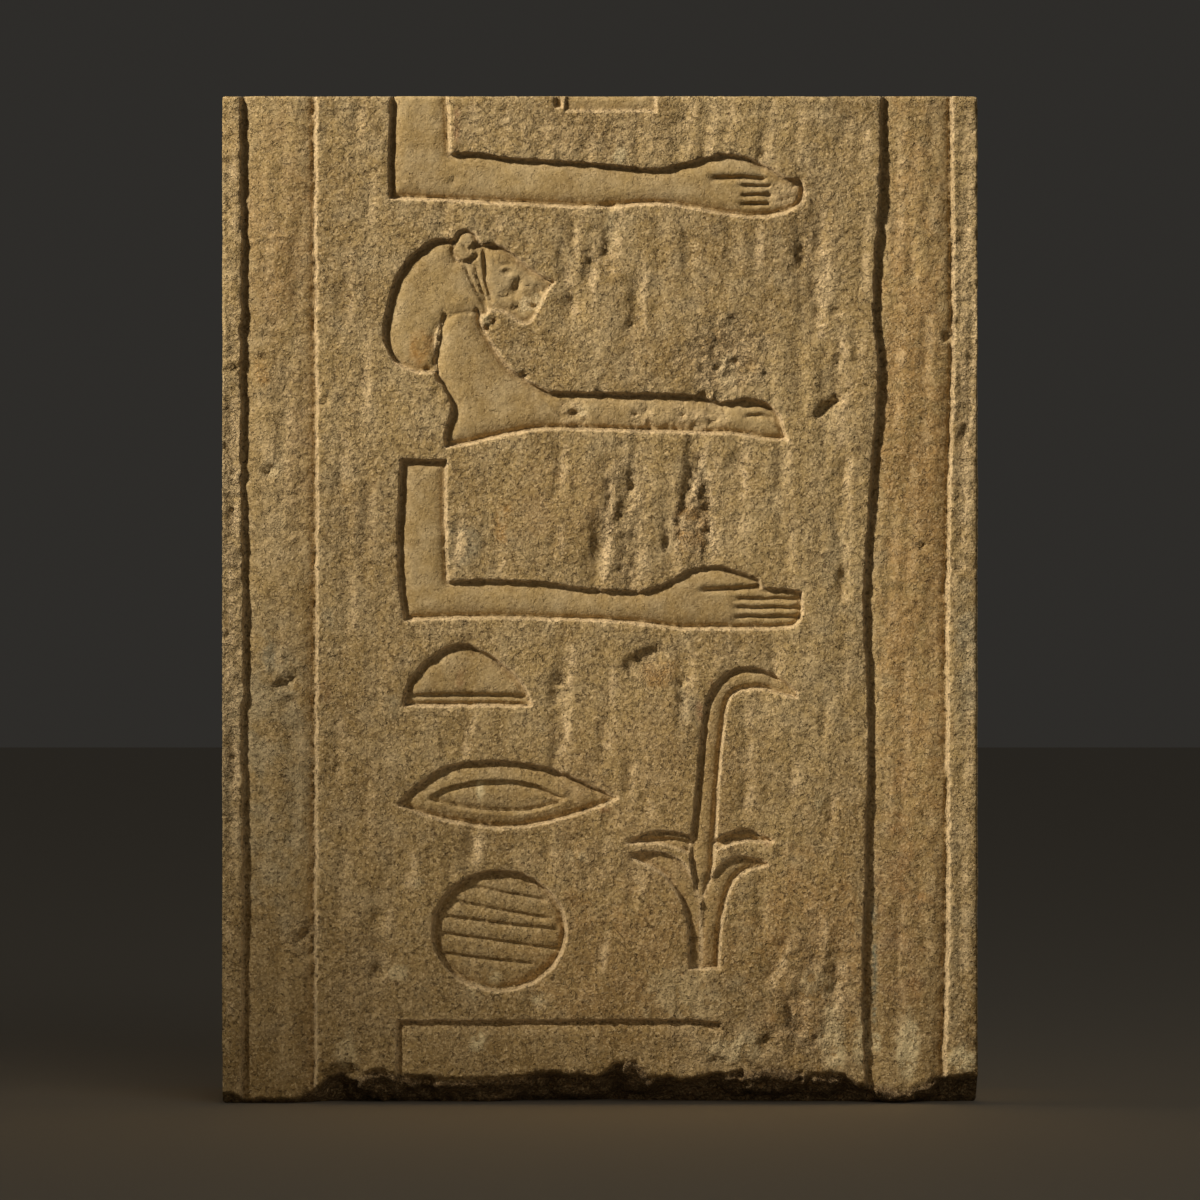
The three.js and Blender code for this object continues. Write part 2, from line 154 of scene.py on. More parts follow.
class StoneNoise:
    """Smooth seeded unevenness over a plane, about -1 to 1."""

    def __init__(self, seed: int) -> None:
        """Draws one slope for each corner of a lattice."""
        angle = np.random.default_rng(seed).uniform(0, 2 * math.pi, (LATTICE, LATTICE))
        self.slopes = np.stack([np.cos(angle), np.sin(angle)], axis=-1)

    def single(self, u: np.ndarray, v: np.ndarray) -> np.ndarray:
        """Reads one layer of unevenness at lattice coordinates."""
        cell_u, cell_v = np.floor(u).astype(int), np.floor(v).astype(int)
        part_u, part_v = u - cell_u, v - cell_v

        def corner(step_u: int, step_v: int) -> np.ndarray:
            """The slope of one corner, carried to the point."""
            slope = self.slopes[(cell_u + step_u) % LATTICE, (cell_v + step_v) % LATTICE]
            return slope[..., 0] * (part_u - step_u) + slope[..., 1] * (part_v - step_v)

        ease_u = part_u**3 * (part_u * (part_u * 6 - 15) + 10)
        ease_v = part_v**3 * (part_v * (part_v * 6 - 15) + 10)
        low = corner(0, 0) + ease_u * (corner(1, 0) - corner(0, 0))
        high = corner(0, 1) + ease_u * (corner(1, 1) - corner(0, 1))
        return 1.5 * (low + ease_v * (high - low))

    def layered(self, points: np.ndarray, size: Point, layers: int = 3, turn: float = 0.0) -> np.ndarray:
        """Adds up finer and finer unevenness.

        Args:
            points: where to read it, in millimetres.
            size: width and height of its largest lumps, in millimetres.
            layers: how many layers, each of half the size and half the height of the one before.
            turn: the angle that the lumps lean over by, in degrees.

        Returns:
            One value for each point, about -1 to 1.
        """
        total = np.zeros(len(points))
        height = 1.0
        for layer in range(layers):
            angle = math.radians(turn) if size[0] != size[1] else 0.6 * layer
            across = points[:, 0] * math.cos(angle) + points[:, 1] * math.sin(angle)
            up = points[:, 1] * math.cos(angle) - points[:, 0] * math.sin(angle)
            finer = 2.0**layer
            u, v = across * finer / size[0] + 17.3 * layer, up * finer / size[1] + 9.1 * layer
            total += height * self.single(u, v)
            height *= 0.5
        return total


@dataclass(frozen=True)
class Side:
    """One side of a sunk figure.

    Attributes:
        runs: smooth runs of the edge, end to end, with a corner where two meet.
        foot: how deep the chisel went at the foot of its wall.
    """

    runs: tuple[Line, ...]
    foot: float = FIGURE_FOOT

    def trace(self, spacing: float) -> np.ndarray:
        """Lays all runs end to end."""
        traced = np.vstack([through(run, spacing) for run in self.runs])
        moved = np.concatenate([[True], np.hypot(*np.diff(traced, axis=0).T) > JOINED])
        return traced[moved]


@dataclass(frozen=True)
class SunkForm:
    """A figure sunk into the face: a steep wall down to a foot, then a rounded bolster back up.

    Attributes:
        sides: one closed side, or two that face each other and run the same way.
        crown: how far the top of the bolster stays below the face.
        rounding: how far in from the wall the bolster reaches its crown.
        open_ends: whether the form runs on without a wall at its start and at its end.
        finish: how far it was smoothed, 0 for as rough as the face around it and 1 for smooth.
    """

    sides: tuple[Side, ...]
    crown: float = FIGURE_CROWN
    rounding: float = BOLSTER_ROUND
    open_ends: tuple[bool, bool] = (False, False)
    finish: float = 1.0

    def outline(self, spacing: float) -> np.ndarray:
        """Runs once round the figure."""
        if len(self.sides) == 1:
            return self.sides[0].trace(spacing)
        out, back = (side.trace(spacing) for side in self.sides)
        caps = [through(ends, spacing) for ends in ((out[-1], back[-1]), (back[0], out[0]))]
        closed = np.vstack([out, caps[0], back[::-1], caps[1]])
        moved = np.hypot(*(closed - np.roll(closed, 1, axis=0)).T) > JOINED
        return closed[moved]

    def measure(self, points: np.ndarray) -> tuple[np.ndarray, np.ndarray]:
        """Reads the figure at some points.

        Args:
            points: places on the face.

        Returns:
            How far each lies inside the edge, less than zero outside it, and its depth.
        """
        traces = [side.trace(TRACE_STEP) for side in self.sides]
        gaps = [distance_to(trace, points) for trace in traces]
        feet = [side.foot for side in self.sides]
        width = gaps[0] + gaps[1] if len(gaps) == 2 else np.full(len(points), 6 * self.rounding)
        if len(gaps) == 2:
            for end, is_open in zip((0, -1), self.open_ends):
                cap = np.array([traces[0][end], traces[1][end]])
                if np.hypot(*(cap[1] - cap[0])) > 0.5 and not is_open:
                    gaps.append(distance_to(cap, points))
                    feet.append(sum(feet[:2]) / 2)
        edge = np.minimum.reduce(gaps)
        run = np.minimum(WALL_RUN, NARROW_RUN * width)
        rounding = np.maximum(np.minimum(self.rounding, NARROW_ROUND * width - run), 0.2)
        lift = np.clip((0.5 * width - run) / self.rounding + NARROW_LIFT, 0, 1)
        floor = np.zeros(len(points))
        wall = np.full(len(points), 99.0)
        for gap, foot in zip(gaps, feet):
            deepest = np.minimum(foot, NARROW_DEPTH * width)
            rise = np.maximum(deepest - self.crown, 0) * lift
            floor = np.maximum(floor, deepest - rise * quarter_round((gap - run) / rounding))
            wall = np.minimum(wall, RIM_WEAR + deepest * gap / np.maximum(run, 0.05))
        within = inside(self.outline(TRACE_STEP), points)
        worn = RIM_WEAR * np.clip(1 - edge / RIM_REACH, 0, 1) ** 2
        return np.where(within, edge, -edge), np.where(within, np.minimum(wall, floor), worn)


@dataclass(frozen=True)
class IncisedLine:
    """A single line cut into whatever surface it crosses."""

    points: Line
    width: float = 1.7
    depth: float = 1.7

    def measure(self, points: np.ndarray) -> np.ndarray:
        """Gives how much deeper the line takes each point."""
        trace = through(self.points, 1.0)
        share = 1 - distance_to(trace, points) / (self.width / 2 + 0.45)
        ends = np.minimum(*(np.hypot(*(points - trace[end]).T) for end in (0, -1)))
        return self.depth * ease(1.25 * share) * np.clip(ends / 2.5 + 0.35, 0, 1)


class Datum(Enum):
    """What the depth of a loss is measured from."""

    FACE = "the flat face"
    SURFACE = "the surface it lies in"


@dataclass(frozen=True)
class Hollow:
    """A chip, pit or worn dish.

    Attributes:
        at: its middle.
        size: half its length and half its width.
        depth: its depth; less than zero is a lump left standing.
        turn: how far its length is turned from level, in degrees.
        steep: 0 for an even dish, 1 for a gouge with its steep side along its top.
        datum: what the depth is measured from.
    """

    at: Point
    size: Point
    depth: float
    turn: float = 0.0
    steep: float = 0.0
    datum: Datum = Datum.SURFACE

    def measure(self, points: np.ndarray, noise: StoneNoise) -> np.ndarray:
        """Gives its depth at some points, uneven as broken stone is."""
        angle = math.radians(self.turn)
        x, z = (points - self.at).T
        ragged = 1 + 0.28 * noise.layered(points, (5.0, 5.0), 2)
        u = (x * math.cos(angle) + z * math.sin(angle)) / self.size[0] * ragged
        v = (z * math.cos(angle) - x * math.sin(angle)) / self.size[1] * ragged
        dish = np.clip(1 - u * u - v * v, 0, 1)
        across = np.clip((1 - v) / 2, 0, 1)
        gouge = np.clip(across / 0.14, 0, 1) * (1 - across) ** 1.1 * 1.3 * np.clip(1 - u * u, 0, 1) * (v < 1)
        shape = (1 - self.steep) * dish + self.steep * gouge
        return self.depth * shape * (1 + 0.2 * noise.layered(points, (3.5, 3.5), 2))


@dataclass(frozen=True)
class Stroke:
    """A shallow groove left by a tool or by running water.

    Attributes:
        points: the line it follows, from the top down.
        width: how wide its steeper side is, on its right as the face is looked at.
        depth: how deep it is.
        lean: how many times wider its left side is.
    """

    points: Line
    width: float = 3.0
    depth: float = 0.7
    lean: float = 1.0

    def across(self, points: np.ndarray, noise: StoneNoise) -> tuple[np.ndarray, np.ndarray]:
        """Gives how far to the right of it each point lies, and how strong it is there."""
        trace = through(self.points, 3.0)
        run = trace[-1] - trace[0]
        away = points - trace[0]
        left = run[0] * away[:, 1] - run[1] * away[:, 0] < 0
        side = distance_to(trace, points) * np.where(left, -1, 1) + 0.5 * noise.layered(points, (4.0, 7.0), 2)
        ends = np.minimum(*(np.hypot(*(points - trace[end]).T) for end in (0, -1)))
        fade = np.clip(ends / (0.15 * np.hypot(*run) + 1) + 0.1, 0, 1)
        return side, fade * np.clip(0.9 + 0.8 * noise.layered(points, (6.0, 24.0), 2), 0.25, 1.4)

    def measure(self, points: np.ndarray, noise: StoneNoise) -> np.ndarray:
        """Gives its depth at some points. It is fainter here and there along its length."""
        side, strength = self.across(points, noise)
        gentle = np.exp(-(np.minimum(side, 0) / (self.width * self.lean)) ** 2)
        return self.depth * strength * gentle * np.exp(-(np.maximum(side, 0) / self.width) ** 2)

    def scuff(self, points: np.ndarray, noise: StoneNoise) -> np.ndarray:
        """Gives how far its steep side, which the key light falls on, is painted pale, 0 to 1: partly rubbed
        stone, partly painted highlight.
        """
        side, strength = self.across(points, noise)
        steep_side = np.exp(-((side - 0.8 * self.width) / (self.width + 0.3)) ** 2)
        return np.clip(0.62 * self.depth * strength, 0, 1) ** 1.5 * steep_side


@dataclass(frozen=True)
class Patch:
    """An oval area with something more of it than the stone around."""

    at: Point
    size: Point
    much: float = 1.0
    turn: float = 0.0

    def share(self, points: np.ndarray, noise: StoneNoise) -> np.ndarray:
        """Gives how far each point is in the patch, 0 to much, with a broken edge."""
        angle = math.radians(self.turn)
        x, z = (points - self.at).T
        u = (x * math.cos(angle) + z * math.sin(angle)) / self.size[0]
        v = (z * math.cos(angle) - x * math.sin(angle)) / self.size[1]
        ragged = 0.35 * noise.layered(points, (9.0, 9.0), 3)
        return self.much * ease((1.15 - np.sqrt(u * u + v * v) + ragged) / 0.5)


class Figure(Protocol):
    """Anything carved: it gives the forms that are sunk and the lines that are cut on them."""

    def forms(self) -> list[SunkForm]:
        """The forms sunk into the face."""

    def lines(self) -> list[IncisedLine]:
        """The lines cut on them."""


@dataclass(frozen=True)
class Band:
    """An upright sunk band, from the top down."""

    left: Line
    right: Line
    foot: float = 5.0
    crown: float = 1.6
    rounding: float = 14.0

    def forms(self) -> list[SunkForm]:
        """The band as one form that runs past both ends of the block."""
        sides = (Side((self.left,), self.foot), Side((self.right,), self.foot))
        return [SunkForm(sides, self.crown, self.rounding, (True, True), 0.25)]

    def lines(self) -> list[IncisedLine]:
        """No lines are cut on a band."""
        return []


@dataclass(frozen=True)
class CutOffFigure:
    """The lower end of a figure that the top of the block cuts through."""

    foot: float = SLENDER_FOOT

    def forms(self) -> list[SunkForm]:
        """Its flat rim, the deeper part above the rim, and the narrow tongue on its left."""
        def between(left: float, right: float, low: float, foot: float) -> tuple[Side, ...]:
            """Two upright sides that come down from above the block to a level."""
            return tuple(Side((((x, 530), (x, low)),), foot) for x in (left, right))

        rim = between(-18, 28.5, 496, 2.0)
        deeper = between(-17, 22.5, 502.2, self.foot)
        tongue = between(-23, -18.5, 498, 2.6)
        return [SunkForm(rim, 2.0, 4.0), SunkForm(deeper, 3.2, 6.0), SunkForm(tongue)]

    def lines(self) -> list[IncisedLine]:
        """No line of it reaches down to the block."""
        return []


@dataclass(frozen=True)
class Forearm:
    """A bent forearm with its hand held out to the right."""

    outer: Line
    inner: Line
    bottom: Line
    top: Line
    thumb: Line
    fingers: tuple[Line, ...]

    def forms(self) -> list[SunkForm]:
        """The arm from its upper end round the elbow to the finger tips."""
        return [SunkForm((Side((self.outer, self.bottom)), Side((self.inner, self.top), 4.4)))]

    def lines(self) -> list[IncisedLine]:
        """The edge of the thumb and the lines between the fingers."""
        fingers = [IncisedLine(points, 1.7, 2.2) for points in self.fingers]
        return [IncisedLine(self.thumb, 2.4, 2.6), *fingers]


@dataclass(frozen=True)
class LionForepart:
    """The forepart of a lion that looks right, with one foreleg stretched out."""

    soft_foot: float = 2.7
    mane_outer: Line = (
        (-73, 432), (-82, 432.5), (-90, 428), (-100, 417.5), (-106, 402), (-108.5, 387), (-106, 375),
        (-100, 368.5), (-90, 365),
    )
    mane_inner: Line = (
        (-71, 423), (-60.5, 420), (-57, 408), (-55.5, 396), (-61, 393.5), (-68.5, 394), (-77, 391),
        (-81.5, 384.5), (-81.5, 365.5),
    )
    face_top: Line = ((-64, 431), (-58, 430.7), (-50, 429.5), (-42.5, 425), (-32.5, 417), (-22, 411))
    face_bottom: Line = (
        (-62, 397), (-56, 396.5), (-48, 395.5), (-39, 390), (-34, 391.5), (-29.5, 399.5), (-25, 408),
    )
    back: Line = (
        (-79, 394.5), (-81.8, 384.5), (-83, 366), (-79, 358), (-74.5, 348), (-78, 336), (-77.5, 327.5),
    )
    chest: Line = ((-59.5, 398), (-58, 389), (-53, 380), (-45, 368.5), (-35, 361.5), (-24, 356.5))
    belly: Line = ((-77.5, 327.5), (-65, 330), (-45, 334.5), (-27.5, 337))
    leg_bottom: Line = ((-27.5, 337), (0, 336.5), (40, 335.3), (68, 334.5), (82, 332), (94, 332))
    leg_top: Line = ((-24, 356.5), (0, 356), (46, 355), (60, 351.5), (74, 353), (84, 350.5), (90, 345))
    ear: Line = (
        (-67, 438), (-62.5, 436), (-59.6, 430), (-60.5, 423.5), (-64, 420.3), (-69, 419.8), (-73, 423),
        (-74.5, 429), (-71.5, 435.5), (-67, 438),
    )
    eye: Line = (
        (-50.5, 416.3), (-48, 418.4), (-44.5, 418), (-43.2, 415.6), (-46, 413.8), (-49, 414.2),
        (-50.5, 416.3),
    )

    def forms(self) -> list[SunkForm]:
        """Mane, ear, face and eye, and the body with its leg."""
        mane = (Side((self.mane_outer,)), Side((self.mane_inner,), self.soft_foot + 0.9))
        face = (Side((self.face_top,)), Side((self.face_bottom,), self.soft_foot))
        body = (Side((self.back, self.belly, self.leg_bottom)), Side((self.chest, self.leg_top)))
        return [
            SunkForm(mane),
            SunkForm(face, rounding=6.0, open_ends=(True, False)),
            SunkForm(body, open_ends=(True, False)),
            SunkForm((Side((self.ear,), 4.2),), 1.0, 2.6),
            SunkForm((Side((self.eye,), 3.4),), 2.3, 1.6),
        ]

    def lines(self) -> list[IncisedLine]:
        """The ear's inner fold, hair, ruff, brow, cheek and toes."""
        return [
            IncisedLine(((-68.5, 430), (-66.5, 426.5), (-63.5, 429.5)), 1.6, 1.1),
            IncisedLine(((-67.5, 419), (-65, 413), (-61.5, 406), (-56.5, 398.5)), 1.6, 1.5),
            IncisedLine(((-62.5, 418.5), (-61, 412), (-58.8, 405.5), (-55.5, 399)), 1.5, 1.3),
            IncisedLine(((-58, 427), (-57.6, 420), (-57, 412), (-54.5, 401)), 2.2, 2.1),
            IncisedLine(((-54, 422.5), (-51.5, 419.8)), 1.5, 0.9),
            IncisedLine(((-50, 419), (-47, 420.2), (-43.5, 419)), 1.4, 0.9),
            IncisedLine(((72, 349), (80, 349), (85, 347)), 1.7, 1.8),
            IncisedLine(((73, 344), (81, 344.5), (87, 342.5)), 1.7, 1.8),
        ]


@dataclass(frozen=True)
class BreadLoaf:
    """A loaf: a low arch on a flat base, with one line along the base."""

    base: Line = ((-98.5, 198.5), (-34, 198.5))
    arch: Line = (
        (-98.5, 202.5), (-95, 213), (-84, 224), (-70, 230.5), (-57, 226), (-45, 217.5), (-38, 209.5),
        (-34, 202),
    )

    def forms(self) -> list[SunkForm]:
        """The loaf."""
        return [SunkForm((Side((self.base,)), Side((self.arch,))), finish=0.8)]

    def lines(self) -> list[IncisedLine]:
        """The line above its base."""
        return [IncisedLine(((-93, 204), (-66, 204.3), (-38, 203.7)), 2.0, 2.2)]


@dataclass(frozen=True)
class Mouth:
    """A mouth: a long lens with a smaller lens sunk in it."""

    under: Line = (
        (-101.5, 149), (-85, 143), (-64, 138.8), (-45, 137.5), (-25, 140.5), (-8, 145.5), (9.5, 152.3),
    )
    over: Line = (
        (-101.5, 150.8), (-90, 161), (-75, 169.5), (-50, 171.8), (-25, 168), (-5, 160), (9.5, 153.5),
    )
    inner_under: Line = ((-86, 151.5), (-70, 147), (-50, 144.8), (-32, 146), (-22, 149.5), (-15, 152.2))
    inner_over: Line = ((-86, 153.5), (-72, 160), (-50, 162.3), (-33, 160), (-22, 155.5), (-15, 153.6))

    def forms(self) -> list[SunkForm]:
        """The lips and the opening between them."""
        lips = (Side((self.under,)), Side((self.over,)))
        opening = (Side((self.inner_under,)), Side((self.inner_over,)))
        return [SunkForm(lips, 1.6, finish=0.6), SunkForm(opening, 2.6, 4.0, finish=0.6)]

    def lines(self) -> list[IncisedLine]:
        """No line is cut on it."""
        return []


@dataclass(frozen=True)
class Sieve:
    """A round sieve with five sloping lines."""

    centre: Point = (-50.5, 86.5)
    radii: Point = (34, 30.5)
    strokes: tuple[Line, ...] = (
        ((-62, 108.5), (-45, 105), (-27, 102)), ((-73, 101.5), (-50, 97), (-25, 92.5)),
        ((-79, 94), (-50, 90), (-22, 87)), ((-80, 85.5), (-50, 81), (-22, 77.5)),
        ((-78, 75), (-55, 72), (-33, 70)),
    )

    def forms(self) -> list[SunkForm]:
        """The disc."""
        turns = np.linspace(0, 2 * math.pi, 61)
        (x, z), (half_width, half_height) = self.centre, self.radii
        ring = tuple((x + half_width * math.cos(turn), z + half_height * math.sin(turn)) for turn in turns)
        return [SunkForm((Side((ring,), 6.4),), 2.6, 9.0, finish=0.4)]

    def lines(self) -> list[IncisedLine]:
        """The sloping lines of its weave."""
        return [IncisedLine(points, 1.6, 1.8) for points in self.strokes]


@dataclass(frozen=True)
class SedgePlant:
    """A sedge: a stem that bends over to the right, out of a sheathed stalk with two pairs of leaves."""

    stem_left: Line = (
        (49.5, 101), (46, 113), (44.6, 128), (47, 150), (50, 182), (53, 202), (60, 213), (69, 218), (80, 218),
        (90, 213.5), (99, 206.5),
    )
    stem_right: Line = (
        (51, 101), (56.5, 114), (58, 130), (59.5, 152), (61.5, 178), (64.3, 199), (67.5, 204.5),
        (72, 206.5), (80, 207), (90, 204.7), (99, 202.5),
    )
    stalk_right: Line = ((60, 67), (60.8, 85), (63, 98), (66.5, 109.5), (73, 116), (84.5, 118.6))
    stalk_middle_right: Line = (
        (49.5, 67), (50, 90), (50.5, 102), (54, 111.5), (61, 120), (70, 124.5), (84, 120.8),
    )
    stalk_left: Line = ((44.5, 67), (44.3, 82), (42.5, 94), (39.5, 103), (34, 111.5), (27, 117), (15, 123))
    stalk_middle_left: Line = (
        (51, 67), (51, 90), (50, 102), (46.5, 113.5), (40, 122.5), (30, 126.5), (14.5, 125.2),
    )
    leaf_left: tuple[Line, Line] = (
        ((46, 134.5), (35, 137), (24, 136), (13, 131)), ((45, 124.5), (37, 127.5), (28, 130), (13.5, 129.8)),
    )
    leaf_right: tuple[Line, Line] = (
        ((57, 132.5), (65, 136), (73, 138), (87.5, 131.8)),
        ((57.5, 126.5), (66, 129.3), (75, 131), (87, 130.4)),
    )

    def forms(self) -> list[SunkForm]:
        """Stem, the two halves of the stalk with the leaves they end in, and the upper leaves."""
        right = (self.stalk_right, self.stalk_middle_right)
        left = (self.stalk_left, self.stalk_middle_left)
        return [
            SunkForm((Side((self.stem_left,)), Side((self.stem_right,))), rounding=6.0, finish=0.6),
            *(
                SunkForm((Side((outer,)), Side((middle,), 3.0)), rounding=6.0, finish=0.5)
                for outer, middle in (right, left)
            ),
            *(
                SunkForm(
                    (Side((over,), SLENDER_FOOT), Side((under,), SLENDER_FOOT)), rounding=5.0, finish=0.5
                )
                for over, under in (self.leaf_left, self.leaf_right)
            ),
        ]

    def lines(self) -> list[IncisedLine]:
        """The line along the middle of each upper leaf."""
        left = ((46, 130.3), (36, 132), (26, 132.4), (17, 130.8))
        right = ((58, 130.2), (66, 132.8), (75, 133.2), (85, 131))
        return [IncisedLine(left, 2.2, 1.8), IncisedLine(right, 2.2, 1.8)]


@dataclass(frozen=True)
class Basin:
    """The top of a basin. It fades out to the right, and its foot is lost in the break."""

    under: Line = ((-102, -5), (-60, -5), (40, -5), (70, 10))
    over: Line = ((-102, 42), (-60, 42), (30, 42.3), (60, 41))

    def forms(self) -> list[SunkForm]:
        """The basin."""
        sides = (Side((self.under,), SLENDER_FOOT), Side((self.over,), FIGURE_FOOT))
        return [SunkForm(sides, 0.3, open_ends=(False, True), finish=0.15)]

    def lines(self) -> list[IncisedLine]:
        """No line is cut on it."""
        return []


@dataclass(frozen=True)
class BrokenFoot:
    """The broken lower edge of the face.

    Attributes:
        line: place across the block, height where the face ends, and reach back on the underside.
        shares: heights on the break, with how much of the reach they have used.
        jag: how far the edge of the face jumps up and down.
        lump: how rough the break is.
    """

    line: tuple[tuple[float, float, float], ...] = (
        (-195, 7, 10), (-178, 3.5, 8), (-150, 3, 9), (-143, 8, 14), (-137, 14, 20), (-130, 17, 24),
        (-124, 13.5, 22), (-112, 18, 25), (-98, 16, 23), (-82, 13.5, 22), (-60, 13, 24), (-40, 15, 27),
        (-25, 17, 30), (0, 14.5, 32), (8, 21, 33), (17, 23, 30), (25, 14.5, 26), (48, 13.5, 24),
        (66, 17, 24), (86, 20, 22), (104, 15.5, 20), (120, 16, 21), (127, 12, 18), (142, 10.5, 17),
        (152, 7.5, 14), (160, 11, 18), (171, 15, 21), (195, 14.5, 20),
    )
    shares: tuple[Point, ...] = ((0, 1), (0.5, 0.65), (0.82, 0.3), (1, 0))
    rubble: tuple[Patch, ...] = (
        Patch((19, 14), (10, 9), 10.0), Patch((86, 14), (17, 10), 9.0), Patch((68, 9), (8, 6), 6.0),
        Patch((-108, 8), (18, 9), 9.0), Patch((-60, 7), (34, 9), 8.0), Patch((-10, 6), (14, 6), 6.0),
        Patch((150, 8), (20, 9), 9.0), Patch((110, 10), (12, 7), 6.0),
    )
    jag: float = 1.5
    lump: float = 2.6

    def height(self, points: np.ndarray, noise: StoneNoise) -> np.ndarray:
        """Gives how high the break reaches above each place along the edge."""
        places, heights, _ = np.array(self.line).T
        along = np.column_stack([points[:, 0], np.zeros(len(points))])
        jagged = self.jag * noise.layered(along, (9.0, 9.0), 3)
        return np.maximum(np.interp(points[:, 0], places, heights) + jagged, 1.5)

    def measure(self, points: np.ndarray, noise: StoneNoise) -> tuple[np.ndarray, np.ndarray]:
        """Gives the depth of the break, and how far below its edge each point is."""
        places, _, reaches = np.array(self.line).T
        height = self.height(points, noise)
        reach = np.interp(points[:, 0], places, reaches)
        levels, used = np.array(self.shares).T
        back = reach * np.interp(np.clip(points[:, 1] / height, 0, 1), levels, used)
        below = np.clip(height - points[:, 1], 0, None)
        rough = noise.layered(points, (12.0, 8.0), 4)
        back -= sum(patch.share(points, noise) for patch in self.rubble) * ease(below / 5)
        return np.where(below > 0, np.maximum(back + self.lump * rough * ease(below / 4), 0), 0), below


